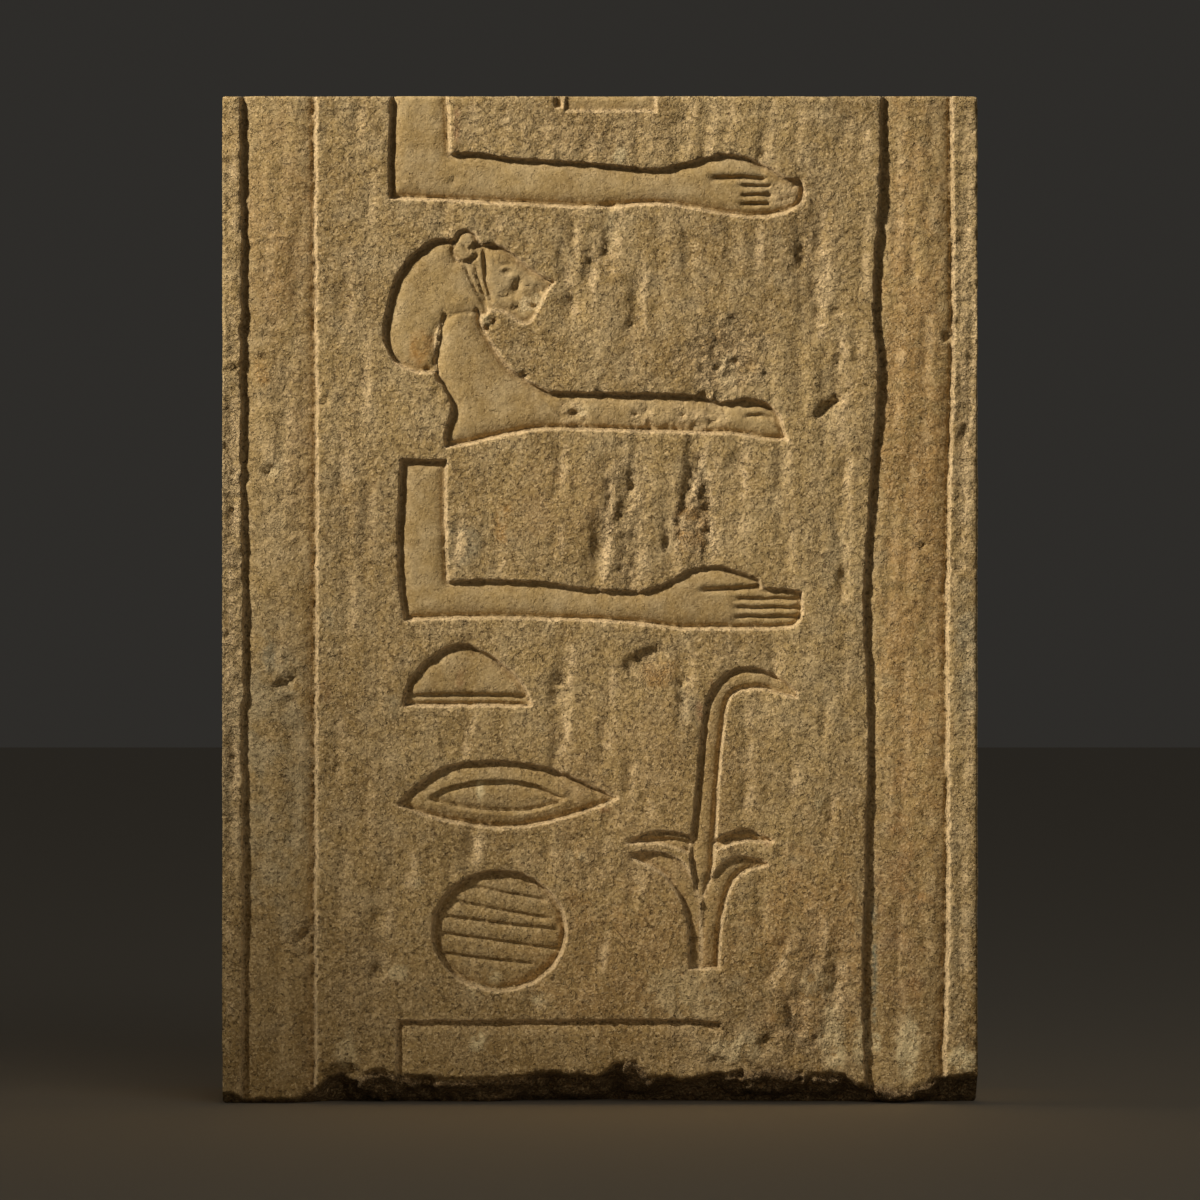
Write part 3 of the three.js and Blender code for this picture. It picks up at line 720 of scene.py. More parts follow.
@dataclass
class Weathering:
    """What time and tools did to the face apart from the figures."""

    noise: StoneNoise = field(default_factory=lambda: StoneNoise(11))
    slow: float = 0.8
    running: float = 1.0
    pitting: float = 0.42
    crumble: float = 1.3
    scratches: int = 420
    hollows: tuple[Hollow, ...] = (
        Hollow((-128, 12), (12, 8), 5.0, 10, 0.3, Datum.FACE),
        Hollow((62, 18), (16, 5), 3.0, -12, 0.5, Datum.FACE), Hollow((96, 42), (4, 12), 2.0, 8, 0.5),
        Hollow((84, 30), (8, 5), 2.0, 30, 0.5), Hollow((112, 30), (5, 12), 1.8, -8, 0.4),
        Hollow((-12, 132), (6, 2.2), 1.6, 10, 0.6), Hollow((-104, 118), (5, 3), 1.5, 40, 0.5),
        Hollow((23, 221), (14, 7), 2.8, 30, 0.7), Hollow((20, 229.5), (6, 2.4), 1.4, 12, 0.8),
        Hollow((117.5, 350), (13.5, 2.8), 2.8, 36, 0.8), Hollow((109, 344.5), (5, 2.5), 1.6, 30, 0.5),
        Hollow((125, 345), (8, 5), 1.1, 50, 0.2), Hollow((65, 374), (22, 14), 1.0, 80),
        Hollow((15, 290), (34, 11), 0.9, 82), Hollow((50, 292), (26, 10), 1.0, 88),
        Hollow((-157, 209), (11, 4.5), 4.8, 20, 0.7, Datum.FACE),
        Hollow((-155, 201), (9, 5), 3.4, 15, 0.2, Datum.FACE),
        Hollow((-165, 316), (7, 5), 4.6, 40, 0.3, Datum.FACE),
        Hollow((-147, 84), (9, 4), 5.2, 60, 0.4, Datum.FACE),
        Hollow((-146, 79), (6, 3), 4.4, 70, 0.6, Datum.FACE),
        Hollow((-137.5, 352), (3.5, 2.5), 2.4, 70, 0.4),
        Hollow((-41.5, 408.5), (8, 2.8), 5.2, 58, 0.5, Datum.FACE),
        Hollow((-43, 404), (4, 3), 4.8, 20, 0.3, Datum.FACE),
        Hollow((-46.5, 405), (3.5, 1.8), 5.0, 62, 0.6, Datum.FACE),
        Hollow((-37, 410), (3, 1.4), 4.6, -30, 0.6, Datum.FACE),
        Hollow((-31, 407), (4, 2), 5.4, -50, 0.5, Datum.FACE),
        Hollow((-33, 398.5), (3, 2), 5.2, 0, 0.5, Datum.FACE),
        Hollow((-42, 398), (3.4, 1.6), 5.0, 30, 0.5, Datum.FACE),
        Hollow((-18, 349), (4, 2), 4.8, 30, 0.6, Datum.FACE),
        Hollow((-7, 342), (4, 2.2), 5.0, -20, 0.5, Datum.FACE),
        Hollow((24, 347), (3.5, 1.8), 5.0, 20, 0.5, Datum.FACE),
        Hollow((42, 344), (4, 2), 5.0, 50, 0.5, Datum.FACE),
        Hollow((56, 341), (5, 2), 4.8, 15, 0.5, Datum.FACE),
        Hollow((62, 347), (3, 2), 4.8, 0, 0.4, Datum.FACE),
        Hollow((-54, 391.5), (2.6, 2.2), 5.6, 0, 0.2, Datum.FACE),
        Hollow((-57, 387.5), (2.6, 2.2), 5.6, 0, 0.2, Datum.FACE),
        Hollow((-38, 364.5), (3, 2), 4.6, 20, 0.3, Datum.FACE),
        Hollow((-12, 344), (7, 4), 4.6, 10, 0.5, Datum.FACE),
        Hollow((-13, 345.5), (4.5, 1.6), 6.0, 0, 0.3, Datum.FACE),
        Hollow((17.5, 344.5), (3, 2.4), 4.4, 0, 0.3, Datum.FACE),
        Hollow((33.5, 338), (6, 2.6), 5.2, 0, 0.4, Datum.FACE),
        Hollow((48.5, 338.5), (7, 2.6), 5.2, 0, 0.4, Datum.FACE),
        Hollow((93, 452), (7, 6), 3.4, 0, 0.0, Datum.FACE),
        Hollow((98, 459.5), (4, 3), 4.8, 30, 0.3, Datum.FACE),
        Hollow((50, 352), (8, 3), 4.5, 40, 0.5, Datum.FACE),
        Hollow((-184, 367), (9, 1.6), 2.8, 15, 0.6, Datum.FACE), Hollow((-74, 461), (3, 1.8), 1.6, 0, 0.2),
        Hollow((-74, 404), (1.4, 1.6), 1.6), Hollow((-77.5, 396), (1.3, 1.5), 1.5),
        Hollow((-86.5, 368), (1.5, 1.5), 1.6), Hollow((161, 279), (2, 2.6), 2.2, 0, 0.3),
        Hollow((166, 329), (2, 2.6), 2.2, 0, 0.3), Hollow((173, 384), (2, 2.6), 2.4, 0, 0.3),
        Hollow((166.5, 142.5), (2, 2), 2.0, 0, 0.3), Hollow((-167.5, 384.5), (2, 3), 1.6),
        Hollow((-163, 391), (1.6, 2), 1.5), Hollow((-169, 374), (2.2, 1.6), 1.6),
        Hollow((-172.5, 180.5), (1.6, 1.8), 2.0),
    )
    ledges: tuple[tuple[float, ...], ...] = (
        (-76.5, 452, -77.5, 434, 2.2, 1), (-51.5, 445, -53, 426, 1.9, 0.8), (-11.5, 443, -13, 421, 2.2, 1),
        (-4.5, 432, -6, 399.5, 2.6, 1), (7, 445, 5.5, 421, 3.4, 1.5), (-17, 421, -14, 392, 2.6, 0.9),
        (-11.5, 402, -5, 391, 3, 0.9), (20.5, 418, 19.5, 387, 2.2, 1), (30, 445, 30.5, 432, 1.5, 0.6),
        (16, 387, 16.5, 366, 2.2, 0.8), (46.5, 436, 45.5, 421, 1.9, 0.6), (67.5, 442, 69, 421, 2.2, 0.8),
        (78.5, 444.5, 79, 417, 1.9, 0.8), (103, 445, 101.5, 417, 2.2, 0.9), (113, 449.5, 109, 421, 3, 1.4),
        (110.5, 421, 108.5, 387, 3.4, 1.5), (120.5, 392, 119.5, 366, 3, 1.3), (123, 366, 119, 347, 3, 1),
        (130.5, 387, 129, 364.5, 1.9, 0.8), (133, 449.5, 131, 402, 1.9, 0.7), (119, 347, 117.5, 332, 3, 1),
        (123.5, 326, 122, 292, 2.2, 1.2), (123, 292, 121.5, 249.5, 2.2, 1.3), (93, 329, 92, 296, 2.2, 1.1),
        (95, 296, 94, 268, 1.9, 0.7), (71, 329, 69, 282, 3, 1.3), (56, 328, 54, 272, 2.6, 1.2),
        (50, 328, 45, 302, 3, 1.6), (41.5, 302, 37, 264.5, 2.6, 1.3), (34.5, 317, 34, 272, 1.9, 0.9),
        (22.5, 326, 17, 302, 3, 1.3), (6, 317, 1.5, 272, 3, 1.3), (2, 282, 0, 259.5, 2.6, 1),
        (20, 279.5, 19.5, 259.5, 2.2, 0.9), (-19, 329, -20, 302, 1.9, 0.8), (-20, 292, -22, 278, 1.9, 0.7),
        (-50, 284.5, -50.5, 257, 1.9, 0.8), (-71, 294.5, -72.5, 264.5, 3, 1),
        (-57, 252, -57.5, 248, 1.9, 0.5), (-16, 226, -18.5, 207, 2.6, 1.1),
        (-17.5, 207, -19.5, 171, 3, 1.2), (5.5, 224.5, 5, 187, 1.9, 0.9), (3, 187, 2, 167, 1.9, 1),
        (-65, 195, -69, 172, 2.2, 1), (-67, 152, -68, 151, 1.1, 0.3), (45, 224.5, 43, 207, 2.2, 1),
        (42, 207, 40, 182, 1.9, 0.8), (27, 226, 26.5, 221, 1.1, 0.3), (58, 232, 57, 219.5, 1.5, 0.6),
        (74.5, 202, 73, 172, 2.2, 0.9), (115, 207, 113, 182, 1.9, 0.7), (122.5, 224.5, 121, 202, 1.9, 0.7),
        (88, 227, 87.5, 207, 1.9, 0.7), (96.5, 172, 96, 152, 1.9, 0.8), (117, 157, 115, 127, 1.9, 0.9),
        (74, 167, 73, 144.5, 2.2, 0.8), (16, 172, 15, 152, 1.9, 0.8), (24, 149, 23, 139, 2.2, 0.9),
        (3.5, 136, 1.5, 116, 1.9, 0.9), (-61.5, 135, -63, 123, 2.6, 0.9), (-24, 133, -25.5, 116, 1.9, 0.7),
        (-95, 122, -96.5, 107, 2.6, 0.9), (20, 121, 18.5, 104.5, 2.2, 0.9),
        (27.5, 107, 26.5, 92, 1.9, 0.6), (82.5, 107, 81.5, 84.5, 1.9, 0.7),
        (1.5, 82, -1.5, 64.5, 1.9, 0.9), (-27.5, 59.5, -31, 44.5, 3, 1), (111, 89.5, 109, 71, 2.2, 1),
        (92, 76, 85, 59.5, 2.2, 1), (102.5, 57, 101.5, 32, 2.2, 1), (120, 72, 118, 44.5, 2.6, 1.2),
        (-120, 502, -121.5, 477, 2.2, 0.6), (-114, 472, -115.5, 437, 1.9, 0.6),
        (-126, 427, -127.5, 387, 2.2, 0.7), (-117, 387, -118.5, 342, 2.2, 0.8),
        (-127.5, 342, -129, 302, 1.9, 0.7), (-114, 317, -115, 272, 1.9, 0.6),
        (-124, 272, -125.5, 232, 2.2, 0.7), (-109, 232, -110.5, 192, 2.2, 0.8),
        (-130, 202, -131, 162, 2.2, 0.8), (-115, 172, -116.5, 127, 2.2, 0.8),
        (-127.5, 127, -128.5, 87, 2.2, 0.8), (-107.5, 102, -109, 62, 2.2, 0.8),
        (-65, 502, -66, 477, 1.9, 0.7), (-47.5, 499.5, -49, 477, 1.9, 0.7),
        (-27.5, 497, -29, 472, 1.9, 0.6), (45, 502, 43.5, 477, 2.2, 0.8), (56, 497, 53, 472, 2.2, 0.9),
        (65, 502, 63.5, 479.5, 1.9, 0.7), (85, 499.5, 83, 469.5, 2.2, 0.8), (100, 502, 99, 477, 1.9, 0.7),
        (124, 497, 121.5, 464.5, 2.2, 0.8), (132.5, 492, 130.5, 457, 1.9, 0.7),
        (-5, 484.5, -6, 469.5, 1.5, 0.6),
    )
    strokes: tuple[Stroke, ...] = (
        Stroke(((-158, 500), (-159, 440)), 1.6, 0.9, 3), Stroke(((-166, 470), (-167, 380)), 1.6, 0.8, 3),
        Stroke(((-150, 450), (-152, 372)), 1.4, 0.7, 3), Stroke(((-156, 372), (-158, 300)), 1.6, 0.9, 3),
        Stroke(((-168, 340), (-169, 262)), 1.6, 0.8, 3), Stroke(((-149, 330), (-150, 262)), 1.4, 0.6, 3),
        Stroke(((-160, 262), (-162, 215)), 1.6, 0.8, 3), Stroke(((-151, 190), (-153, 120)), 1.6, 0.8, 3),
        Stroke(((-167, 190), (-168, 100)), 1.5, 0.7, 3), Stroke(((-158, 96), (-160, 20)), 1.5, 0.8, 3),
        Stroke(((150, 500), (148, 420)), 1.7, 1.2, 3), Stroke(((158, 490), (156, 400)), 1.6, 1.0, 3),
        Stroke(((168, 500), (166, 440)), 1.5, 0.9, 3), Stroke(((150, 410), (148, 330)), 1.7, 1.0, 3),
        Stroke(((164, 400), (162, 320)), 1.6, 1.0, 3), Stroke(((156, 330), (154, 250)), 1.6, 0.9, 3),
        Stroke(((147, 310), (145, 220)), 1.5, 0.8, 3), Stroke(((166, 270), (165, 180)), 1.5, 0.8, 3),
        Stroke(((153, 230), (151, 130)), 1.6, 0.9, 3), Stroke(((144, 190), (142, 90)), 1.4, 0.7, 3),
        Stroke(((164, 160), (163, 60)), 1.6, 0.9, 3), Stroke(((151, 110), (149, 30)), 1.5, 0.9, 3),
        Stroke(((184, 500), (183, 420)), 1.6, 1.4, 3), Stroke(((181, 430), (180.5, 350)), 1.4, 1.2, 3),
        Stroke(((186, 400), (185, 330)), 1.6, 1.3, 3), Stroke(((182, 340), (181, 275)), 1.5, 1.3, 3),
        Stroke(((184, 240), (183, 150)), 1.5, 0.9, 3), Stroke(((181, 150), (181, 60)), 1.4, 0.9, 3),
        Stroke(((-184, 500), (-185, 430)), 1.5, 1.2, 3), Stroke(((-183, 360), (-184, 280)), 1.5, 1.4, 3),
        Stroke(((-186, 280), (-187, 190)), 1.5, 1.4, 3), Stroke(((-183, 200), (-184, 100)), 1.5, 1.3, 3),
        Stroke(((-186, 110), (-186.5, 20)), 1.5, 1.2, 3),
        Stroke(((-187, 424), (-185.7, 400), (-183.5, 387), (-179.8, 375)), 1.1, 1.3),
        Stroke(((174, 268), (181, 268), (194, 268.5)), 1.0, 1.6),
        Stroke(((174, 266.5), (176, 258), (180, 252)), 1.2, 1.0),
        Stroke(((-105, 452), (-107.5, 440), (-109, 425), (-110.5, 403)), 0.9, 0.4),
        Stroke(((-132, 212), (-120, 205)), 0.8, 0.5),
        Stroke(((-135, 238), (-125, 235)), 0.8, 0.5),
        Stroke(((-125, 184), (-112, 180.5)), 0.8, 0.5),
        Stroke(((125, 493.5), (140, 493.5)), 0.8, 0.5),
        Stroke(((-98, 239), (-98, 202)), 0.8, 0.6),
    )
    crumbled: tuple[Patch, ...] = (
        Patch((62, 374), (24, 22), 0.9), Patch((12, 290), (14, 38), 0.75), Patch((50, 292), (13, 27), 0.85),
        Patch((-36, 401), (7, 4.5), 1.0, 40), Patch((-13, 345), (9, 8), 0.9), Patch((21, 342), (7, 6), 0.8),
        Patch((52, 343), (15, 9), 0.8), Patch((-185, 250), (7, 130), 0.8), Patch((183, 380), (7, 120), 0.6),
        Patch((-158, 330), (14, 60), 0.35), Patch((25, 218), (16, 9), 0.5, 25),
        Patch((20, 345), (30, 10), 0.35), Patch((70, 30), (45, 16), 0.5), Patch((93, 455), (9, 8), 0.8),
        Patch((-150, 84), (10, 10), 0.7), Patch((110, 60), (22, 40), 0.45),
        Patch((-120, 60), (20, 40), 0.35), Patch((-125, 330), (12, 60), 0.3),
        Patch((110, 440), (18, 50), 0.35), Patch((-4, 120), (40, 14), 0.3), Patch((0, 485), (60, 14), 0.35),
    )

    def marks(self) -> list[Stroke]:
        """Gathers the ledges, the single strokes, and the pecks of the point in the crumbled areas."""
        rng = np.random.default_rng(31)
        found = [
            Stroke(((x0, z0), (x1, z1)), 0.75 * width, 1.5 * depth, 3.2)
            for x0, z0, x1, z1, width, depth in self.ledges
        ]
        for patch in self.crumbled:
            for _ in range(round(patch.much * patch.size[0] * patch.size[1] / 14)):
                away = rng.normal(0, 0.5, 2) * patch.size
                x, z = patch.at[0] + away[0], patch.at[1] + away[1]
                length, lean = rng.uniform(2.0, 6.0), rng.normal(0.35, 0.5)
                end = (x - length * math.sin(lean), z - length * math.cos(lean))
                width, depth = rng.uniform(0.6, 1.1), patch.much * rng.uniform(0.2, 0.6)
                found.append(Stroke(((x, z), end), width, depth, 1.6))
        for _ in range(self.scratches):
            x, z = rng.uniform((-138, 20), (135, 500))
            length, lean = rng.uniform(3.0, 13.0), rng.normal(0.1, 0.7) + (rng.random() < 0.3) * 1.3
            end = (x - length * math.sin(lean), z - length * math.cos(lean))
            found.append(Stroke(((x, z), end), rng.uniform(0.5, 1.0), rng.uniform(0.1, 0.5)))
        return [*found, *self.strokes]

    def skin(self, points: np.ndarray) -> np.ndarray:
        """Gives the worked face: a slow swell, upright runs and grain."""
        noise = self.noise
        swell = self.slow * noise.layered(points, (85.0, 85.0), 2)
        often = ease(0.5 + 0.9 * noise.layered(points + 250, (60.0, 80.0), 2))
        runs = self.running * np.abs(noise.layered(points + 400, (13.0, 120.0), 2, 2.0)) * often
        runs += 0.4 * noise.layered(points + 90, (22.0, 60.0), 2, -3.0)
        grain = self.pitting * noise.layered(points + 900, (5.2, 5.2), 2)
        return swell + runs + grain

    def crumbling(self, points: np.ndarray) -> np.ndarray:
        """Gives how far each point lies in an area where the skin has crumbled, 0 to 1."""
        return np.clip(sum(patch.share(points, self.noise) for patch in self.crumbled), 0, 1)


@dataclass(frozen=True)
class Stains:
    """Where the stone has changed colour, as patches for each colour."""

    ochre: tuple[Patch, ...] = (
        Patch((157, 300), (18, 220), 0.55), Patch((-162, 440), (16, 60), 0.3),
        Patch((20, 150), (60, 60), 0.2), Patch((105, 75), (30, 55), 0.45), Patch((20, 70), (60, 40), 0.3),
        Patch((-49, 295), (4, 12)), Patch((46, 288), (9, 15), 0.9), Patch((-169, 367), (4, 8), 0.8),
        Patch((30, 215), (11, 7), 0.7), Patch((-89, 378), (7, 9), 0.9), Patch((-20, 300), (30, 22), 0.25),
        Patch((62, 374), (20, 15), 0.3),
    )
    grey: tuple[Patch, ...] = (
        Patch((-70, 279), (10, 13), 0.8), Patch((-164, 165), (25, 75), 0.55), Patch((44, 192), (6, 20), 0.7),
        Patch((-137, 240), (4, 8), 0.7), Patch((-104, 200), (5, 8), 0.6), Patch((-166, 224), (4, 9), 0.8),
        Patch((183, 225), (7, 38), 0.8), Patch((120, 240), (12, 60), 0.3), Patch((70, 55), (22, 12), 0.6),
        Patch((180, 80), (10, 60), 0.35),
    )
    lime: tuple[Patch, ...] = (
        Patch((10, 475), (3, 5)), Patch((-61, 31), (4, 6)), Patch((-30, 52), (4, 3)),
        Patch((-62, 57), (5, 4), 0.8), Patch((-100, 66), (6, 4), 0.7), Patch((-52, 61), (4, 8), 0.7),
        Patch((-12, 124), (5, 3), 0.6), Patch((-92, 110), (4, 3), 0.6), Patch((65, 26), (15, 6), 0.7),
        Patch((154, 28), (6, 18)), Patch((138, 32), (3, 5)), Patch((181, 23), (9, 8), 0.9),
        Patch((-60, 156), (2, 6)), Patch((41, 54), (19, 18), 0.45), Patch((-35, 400), (7, 4.5), 0.9, 40),
        Patch((-9, 346), (3, 3), 0.9), Patch((51, 317), (2.5, 6), 0.9), Patch((64, 366), (5, 8), 0.7),
        Patch((6, 436), (3, 12), 0.5), Patch((-57, 392), (3, 3), 0.9), Patch((116, 35), (7, 20), 0.85),
        Patch((131, 30), (5, 14), 0.9), Patch((74, 31), (6, 6), 0.9), Patch((-49, 292), (2, 5), 0.4),
        Patch((-128, 28), (6, 10), 0.6), Patch((110, 150), (3, 5), 0.6), Patch((-165, 317), (5, 5), 0.5),
        Patch((108, 60), (8, 12), 0.5),
    )
    rust: tuple[Patch, ...] = (
        Patch((-72, 488), (2, 14), 0.7), Patch((56, 210), (1.6, 4), 0.8), Patch((50, 196), (2, 5), 0.8),
        Patch((84, 130), (2, 2), 0.8), Patch((3, 147), (3, 2), 0.7), Patch((-138, 207), (4, 5), 0.6),
        Patch((-70, 212), (2, 6), 0.6), Patch((-150, 330), (8, 40), 0.25), Patch((150, 90), (12, 60), 0.3),
    )
    verdigris: tuple[Patch, ...] = (Patch((137, 68), (1.4, 36), 0.9),)


class CarvedFace:
    """The whole carved face as one surface of depths."""

    def __init__(self, figures: Sequence[Figure], weathering: Weathering, foot: BrokenFoot) -> None:
        """Gathers what was carved, worn and broken."""
        self.forms = [form for figure in figures for form in figure.forms()]
        self.lines = [line for figure in figures for line in figure.lines()]
        self.weathering = weathering
        self.foot = foot
        self.noise = StoneNoise(5)

    def crumbled_edge(self, points: np.ndarray) -> np.ndarray:
        """Gives how far edges have strayed from the line they were cut to."""
        strayed = [
            0.34 * self.noise.layered(points + shift, (8.0, 8.0), 2)
            + 0.16 * self.noise.layered(points + shift, (2.6, 2.6), 1)
            for shift in (0.0, 611.0)
        ]
        stronger = np.where(np.abs(points[:, 0]) > 125, 1.9, 1.0)
        return np.column_stack(strayed) * stronger[:, None]

    def measure(self, points: np.ndarray) -> dict[str, np.ndarray]:
        """Reads the face at some points.

        Args:
            points: places on the face, in millimetres.

        Returns:
            Under depth the depth of each point, under edge how far it lies inside the nearest
            figure, and shares from 0 to 1 for carved, scuffed, crumbled, broken and cut. Scuffed_and_lit is
            the pale steep side of the strokes: partly rubbed stone, partly painted highlight.
        """
        strayed = points + self.crumbled_edge(points)
        carved = np.zeros(len(points))
        edge = np.full(len(points), -50.0)
        smoothed = np.zeros(len(points))
        for form in self.forms:
            outline = form.outline(3.0)
            near = ((points > outline.min(0) - 3) & (points < outline.max(0) + 3)).all(1)
            signed, depth = form.measure(strayed[near])
            carved[near] = np.maximum(carved[near], depth)
            edge[near] = np.maximum(edge[near], signed)
            smoothed[near] = np.maximum(smoothed[near], form.finish * ease(signed / 3))
        cut = np.zeros(len(points))
        for line in self.lines:
            trace = np.asarray(line.points)
            near = ((points > trace.min(0) - 4) & (points < trace.max(0) + 4)).all(1)
            cut[near] = np.maximum(cut[near], line.measure(strayed[near]))
        noise = self.weathering.noise
        crumbled = self.weathering.crumbling(points)
        depth = carved + cut + self.weathering.skin(points) * (1 - 0.75 * smoothed)
        rubble = 0.25 + np.abs(noise.layered(points + 50, (6.5, 8.5), 3))
        depth += self.weathering.crumble * crumbled * rubble
        scuffed = np.zeros(len(points))
        for loss in (*self.weathering.marks(), *self.weathering.hollows):
            reach = 2.5 * loss.width * loss.lean if isinstance(loss, Stroke) else 1.5 * max(loss.size)
            trace = np.asarray(loss.points if isinstance(loss, Stroke) else [loss.at])
            near = ((points > trace.min(0) - reach) & (points < trace.max(0) + reach)).all(1)
            lost = loss.measure(points[near], noise)
            if isinstance(loss, Stroke):
                depth[near] += lost * (1 - 0.8 * smoothed[near])
                # Pale steep side of the stroke, where the key light falls: partly rubbed stone, partly
                # painted highlight.
                pale_lit_share = loss.scuff(points[near], noise) * (1 - smoothed[near])
                scuffed[near] = np.maximum(scuffed[near], pale_lit_share)
            elif loss.datum is Datum.FACE:
                depth[near] = np.maximum(depth[near], lost)
            else:
                depth[near] += lost
        broken, below = self.foot.measure(points, noise)
        depth = np.maximum(depth, broken + 0.3 * (below > 0))
        return {
            "depth": depth, "edge": edge, "carved": smoothed, "scuffed": scuffed, "crumbled": crumbled,
            "broken": ease(below / 3), "cut": ease(cut / 1.5),
        }

    def edge_points(self) -> list[np.ndarray]:
        """Lays rows of mesh points along every edge, most needed first."""
        rows: dict[float, list[np.ndarray]] = {offset: [] for offset in (0.0, 1.8, 0.9, -0.8, 2.9, 4.3)}
        for form in self.forms:
            outline = form.outline(0.95)
            ahead = np.roll(outline, -1, axis=0) - np.roll(outline, 1, axis=0)
            ahead /= np.maximum(np.hypot(*ahead.T), 1e-6)[:, None]
            x, z = outline.T
            turning = np.sign((x * np.roll(z, -1) - np.roll(x, -1) * z).sum())
            inward = turning * np.column_stack([-ahead[:, 1], ahead[:, 0]])
            for offset, row in rows.items():
                places = outline + offset * inward
                if offset:
                    kept = np.abs(distance_to(np.vstack([outline, outline[:1]]), places) - abs(offset)) < 0.3
                    places = places[kept]
                row.append(places - self.crumbled_edge(places))
        for line in self.lines:
            trace = through(line.points, 0.9)
            ahead = np.gradient(trace, axis=0)
            ahead /= np.maximum(np.hypot(*ahead.T), 1e-6)[:, None]
            across = np.column_stack([-ahead[:, 1], ahead[:, 0]])
            rows[0.0].append(trace - self.crumbled_edge(trace))
            for offset in (0.85, -0.85, 1.7, -1.7):
                places = trace + offset * across
                rows[0.9].append(places - self.crumbled_edge(places))
        for mark in self.weathering.marks():
            if mark.depth > 0.55 and math.dist(mark.points[0], mark.points[-1]) > 8:
                trace = through(mark.points, 1.7)
                rows[2.9] += [trace, trace + (1.5 * mark.width, 0)]
        return [np.vstack(row) for row in rows.values()]


@dataclass(frozen=True)
class BlockSize:
    """The sawn block, in millimetres."""

    width: float = 378.0
    height: float = 504.0
    thickness: float = 120.0


class Skin:
    """Gathers the points and triangles of one closed surface."""

    def __init__(self) -> None:
        """Starts with nothing."""
        self.points: list[np.ndarray] = []
        self.triangles: list[np.ndarray] = []
        self.count = 0

    def add(self, places: np.ndarray) -> np.ndarray:
        """Takes in points and gives their numbers."""
        numbers = np.arange(self.count, self.count + len(places))
        self.points.append(np.asarray(places, float))
        self.count += len(places)
        return numbers

    def cover(self, flat: np.ndarray, numbers: np.ndarray, loop: int, outward: Sequence[float]) -> None:
        """Covers one face with triangles.

        Args:
            flat: the face's points laid flat, those of its outline first and in order.
            numbers: the same points' numbers.
            loop: how many of them are the outline.
            outward: the way the face looks.
        """
        given = [tuple(place) for place in flat.tolist()]
        _, _, faces, origins, _, _ = delaunay_2d_cdt(given, [], [list(range(loop))], 1, 1e-7, True)
        used = np.array([origin[0] for origin in origins])
        corners = used[np.array(faces)]
        doubtful = np.flatnonzero((corners < loop).all(1))
        beyond = doubtful[~inside(flat[:loop], flat[corners[doubtful]].mean(1))]
        triangles = numbers[np.delete(corners, beyond, axis=0)]
        everywhere = np.vstack(self.points)
        a, b, c = (everywhere[triangles[:, corner]] for corner in range(3))
        if (np.cross(b - a, c - a).sum(0) * outward).sum() < 0:
            triangles = triangles[:, ::-1]
        self.triangles.append(triangles)


def scattered(size: Point, spacing: float, seed: int) -> np.ndarray:
    """Spreads points evenly but not in rows over a rectangle that starts at nought."""
    rng = np.random.default_rng(seed)
    columns = np.arange(spacing / 2, size[0], spacing)
    lines = np.arange(spacing / 2, size[1], spacing * 0.866)
    x, z = np.meshgrid(columns, lines)
    x = x + (np.arange(len(lines)) % 2)[:, None] * spacing / 2
    places = np.column_stack([x.ravel(), z.ravel()])
    places += rng.uniform(-0.27, 0.27, places.shape) * spacing
    return places[(places > 0.45 * spacing).all(1) & (places < np.array(size) - 0.45 * spacing).all(1)]


def spread_out(groups: Sequence[np.ndarray], gap: float) -> np.ndarray:
    """Keeps points, earlier groups first, that lie at least a gap from those kept before."""
    cells: dict[tuple[int, int], tuple[float, float]] = {}
    size = gap / math.sqrt(2)
    around = [(i, j) for i in range(-2, 3) for j in range(-2, 3)]
    for group in groups:
        for x, z in group.tolist():
            column, line = int(x // size), int(z // size)
            for i, j in around:
                other = cells.get((column + i, line + j))
                if other and (other[0] - x) ** 2 + (other[1] - z) ** 2 < gap * gap:
                    break
            else:
                cells[column, line] = (x, z)
    return np.array(list(cells.values()))


def add_node(
    tree: bpy.types.NodeTree, kind: str, inputs: Mapping[str | int, object] | None = None, **settings: object
) -> bpy.types.Node:
    """Adds one node to a tree.

    Args:
        tree: the tree it goes in.
        kind: its type name.
        inputs: a value or another node's output for each input, by name or number.
        settings: the node's own settings.

    Returns:
        The node.
    """
    node = tree.nodes.new(kind)
    for name, value in settings.items():
        setattr(node, name, value)
    for key, value in (inputs or {}).items():
        if isinstance(value, bpy.types.NodeSocket):
            tree.links.new(value, node.inputs[key])
        else:
            node.inputs[key].default_value = value
    return node


def linear(code: str) -> tuple[float, float, float, float]:
    """Turns an sRGB hex colour to the linear one that shaders take."""
    shares = [int(code[i:i + 2], 16) / 255 for i in (1, 3, 5)]
    red, green, blue = (s / 12.92 if s <= 0.04045 else ((s + 0.055) / 1.055) ** 2.4 for s in shares)
    return red, green, blue, 1.0


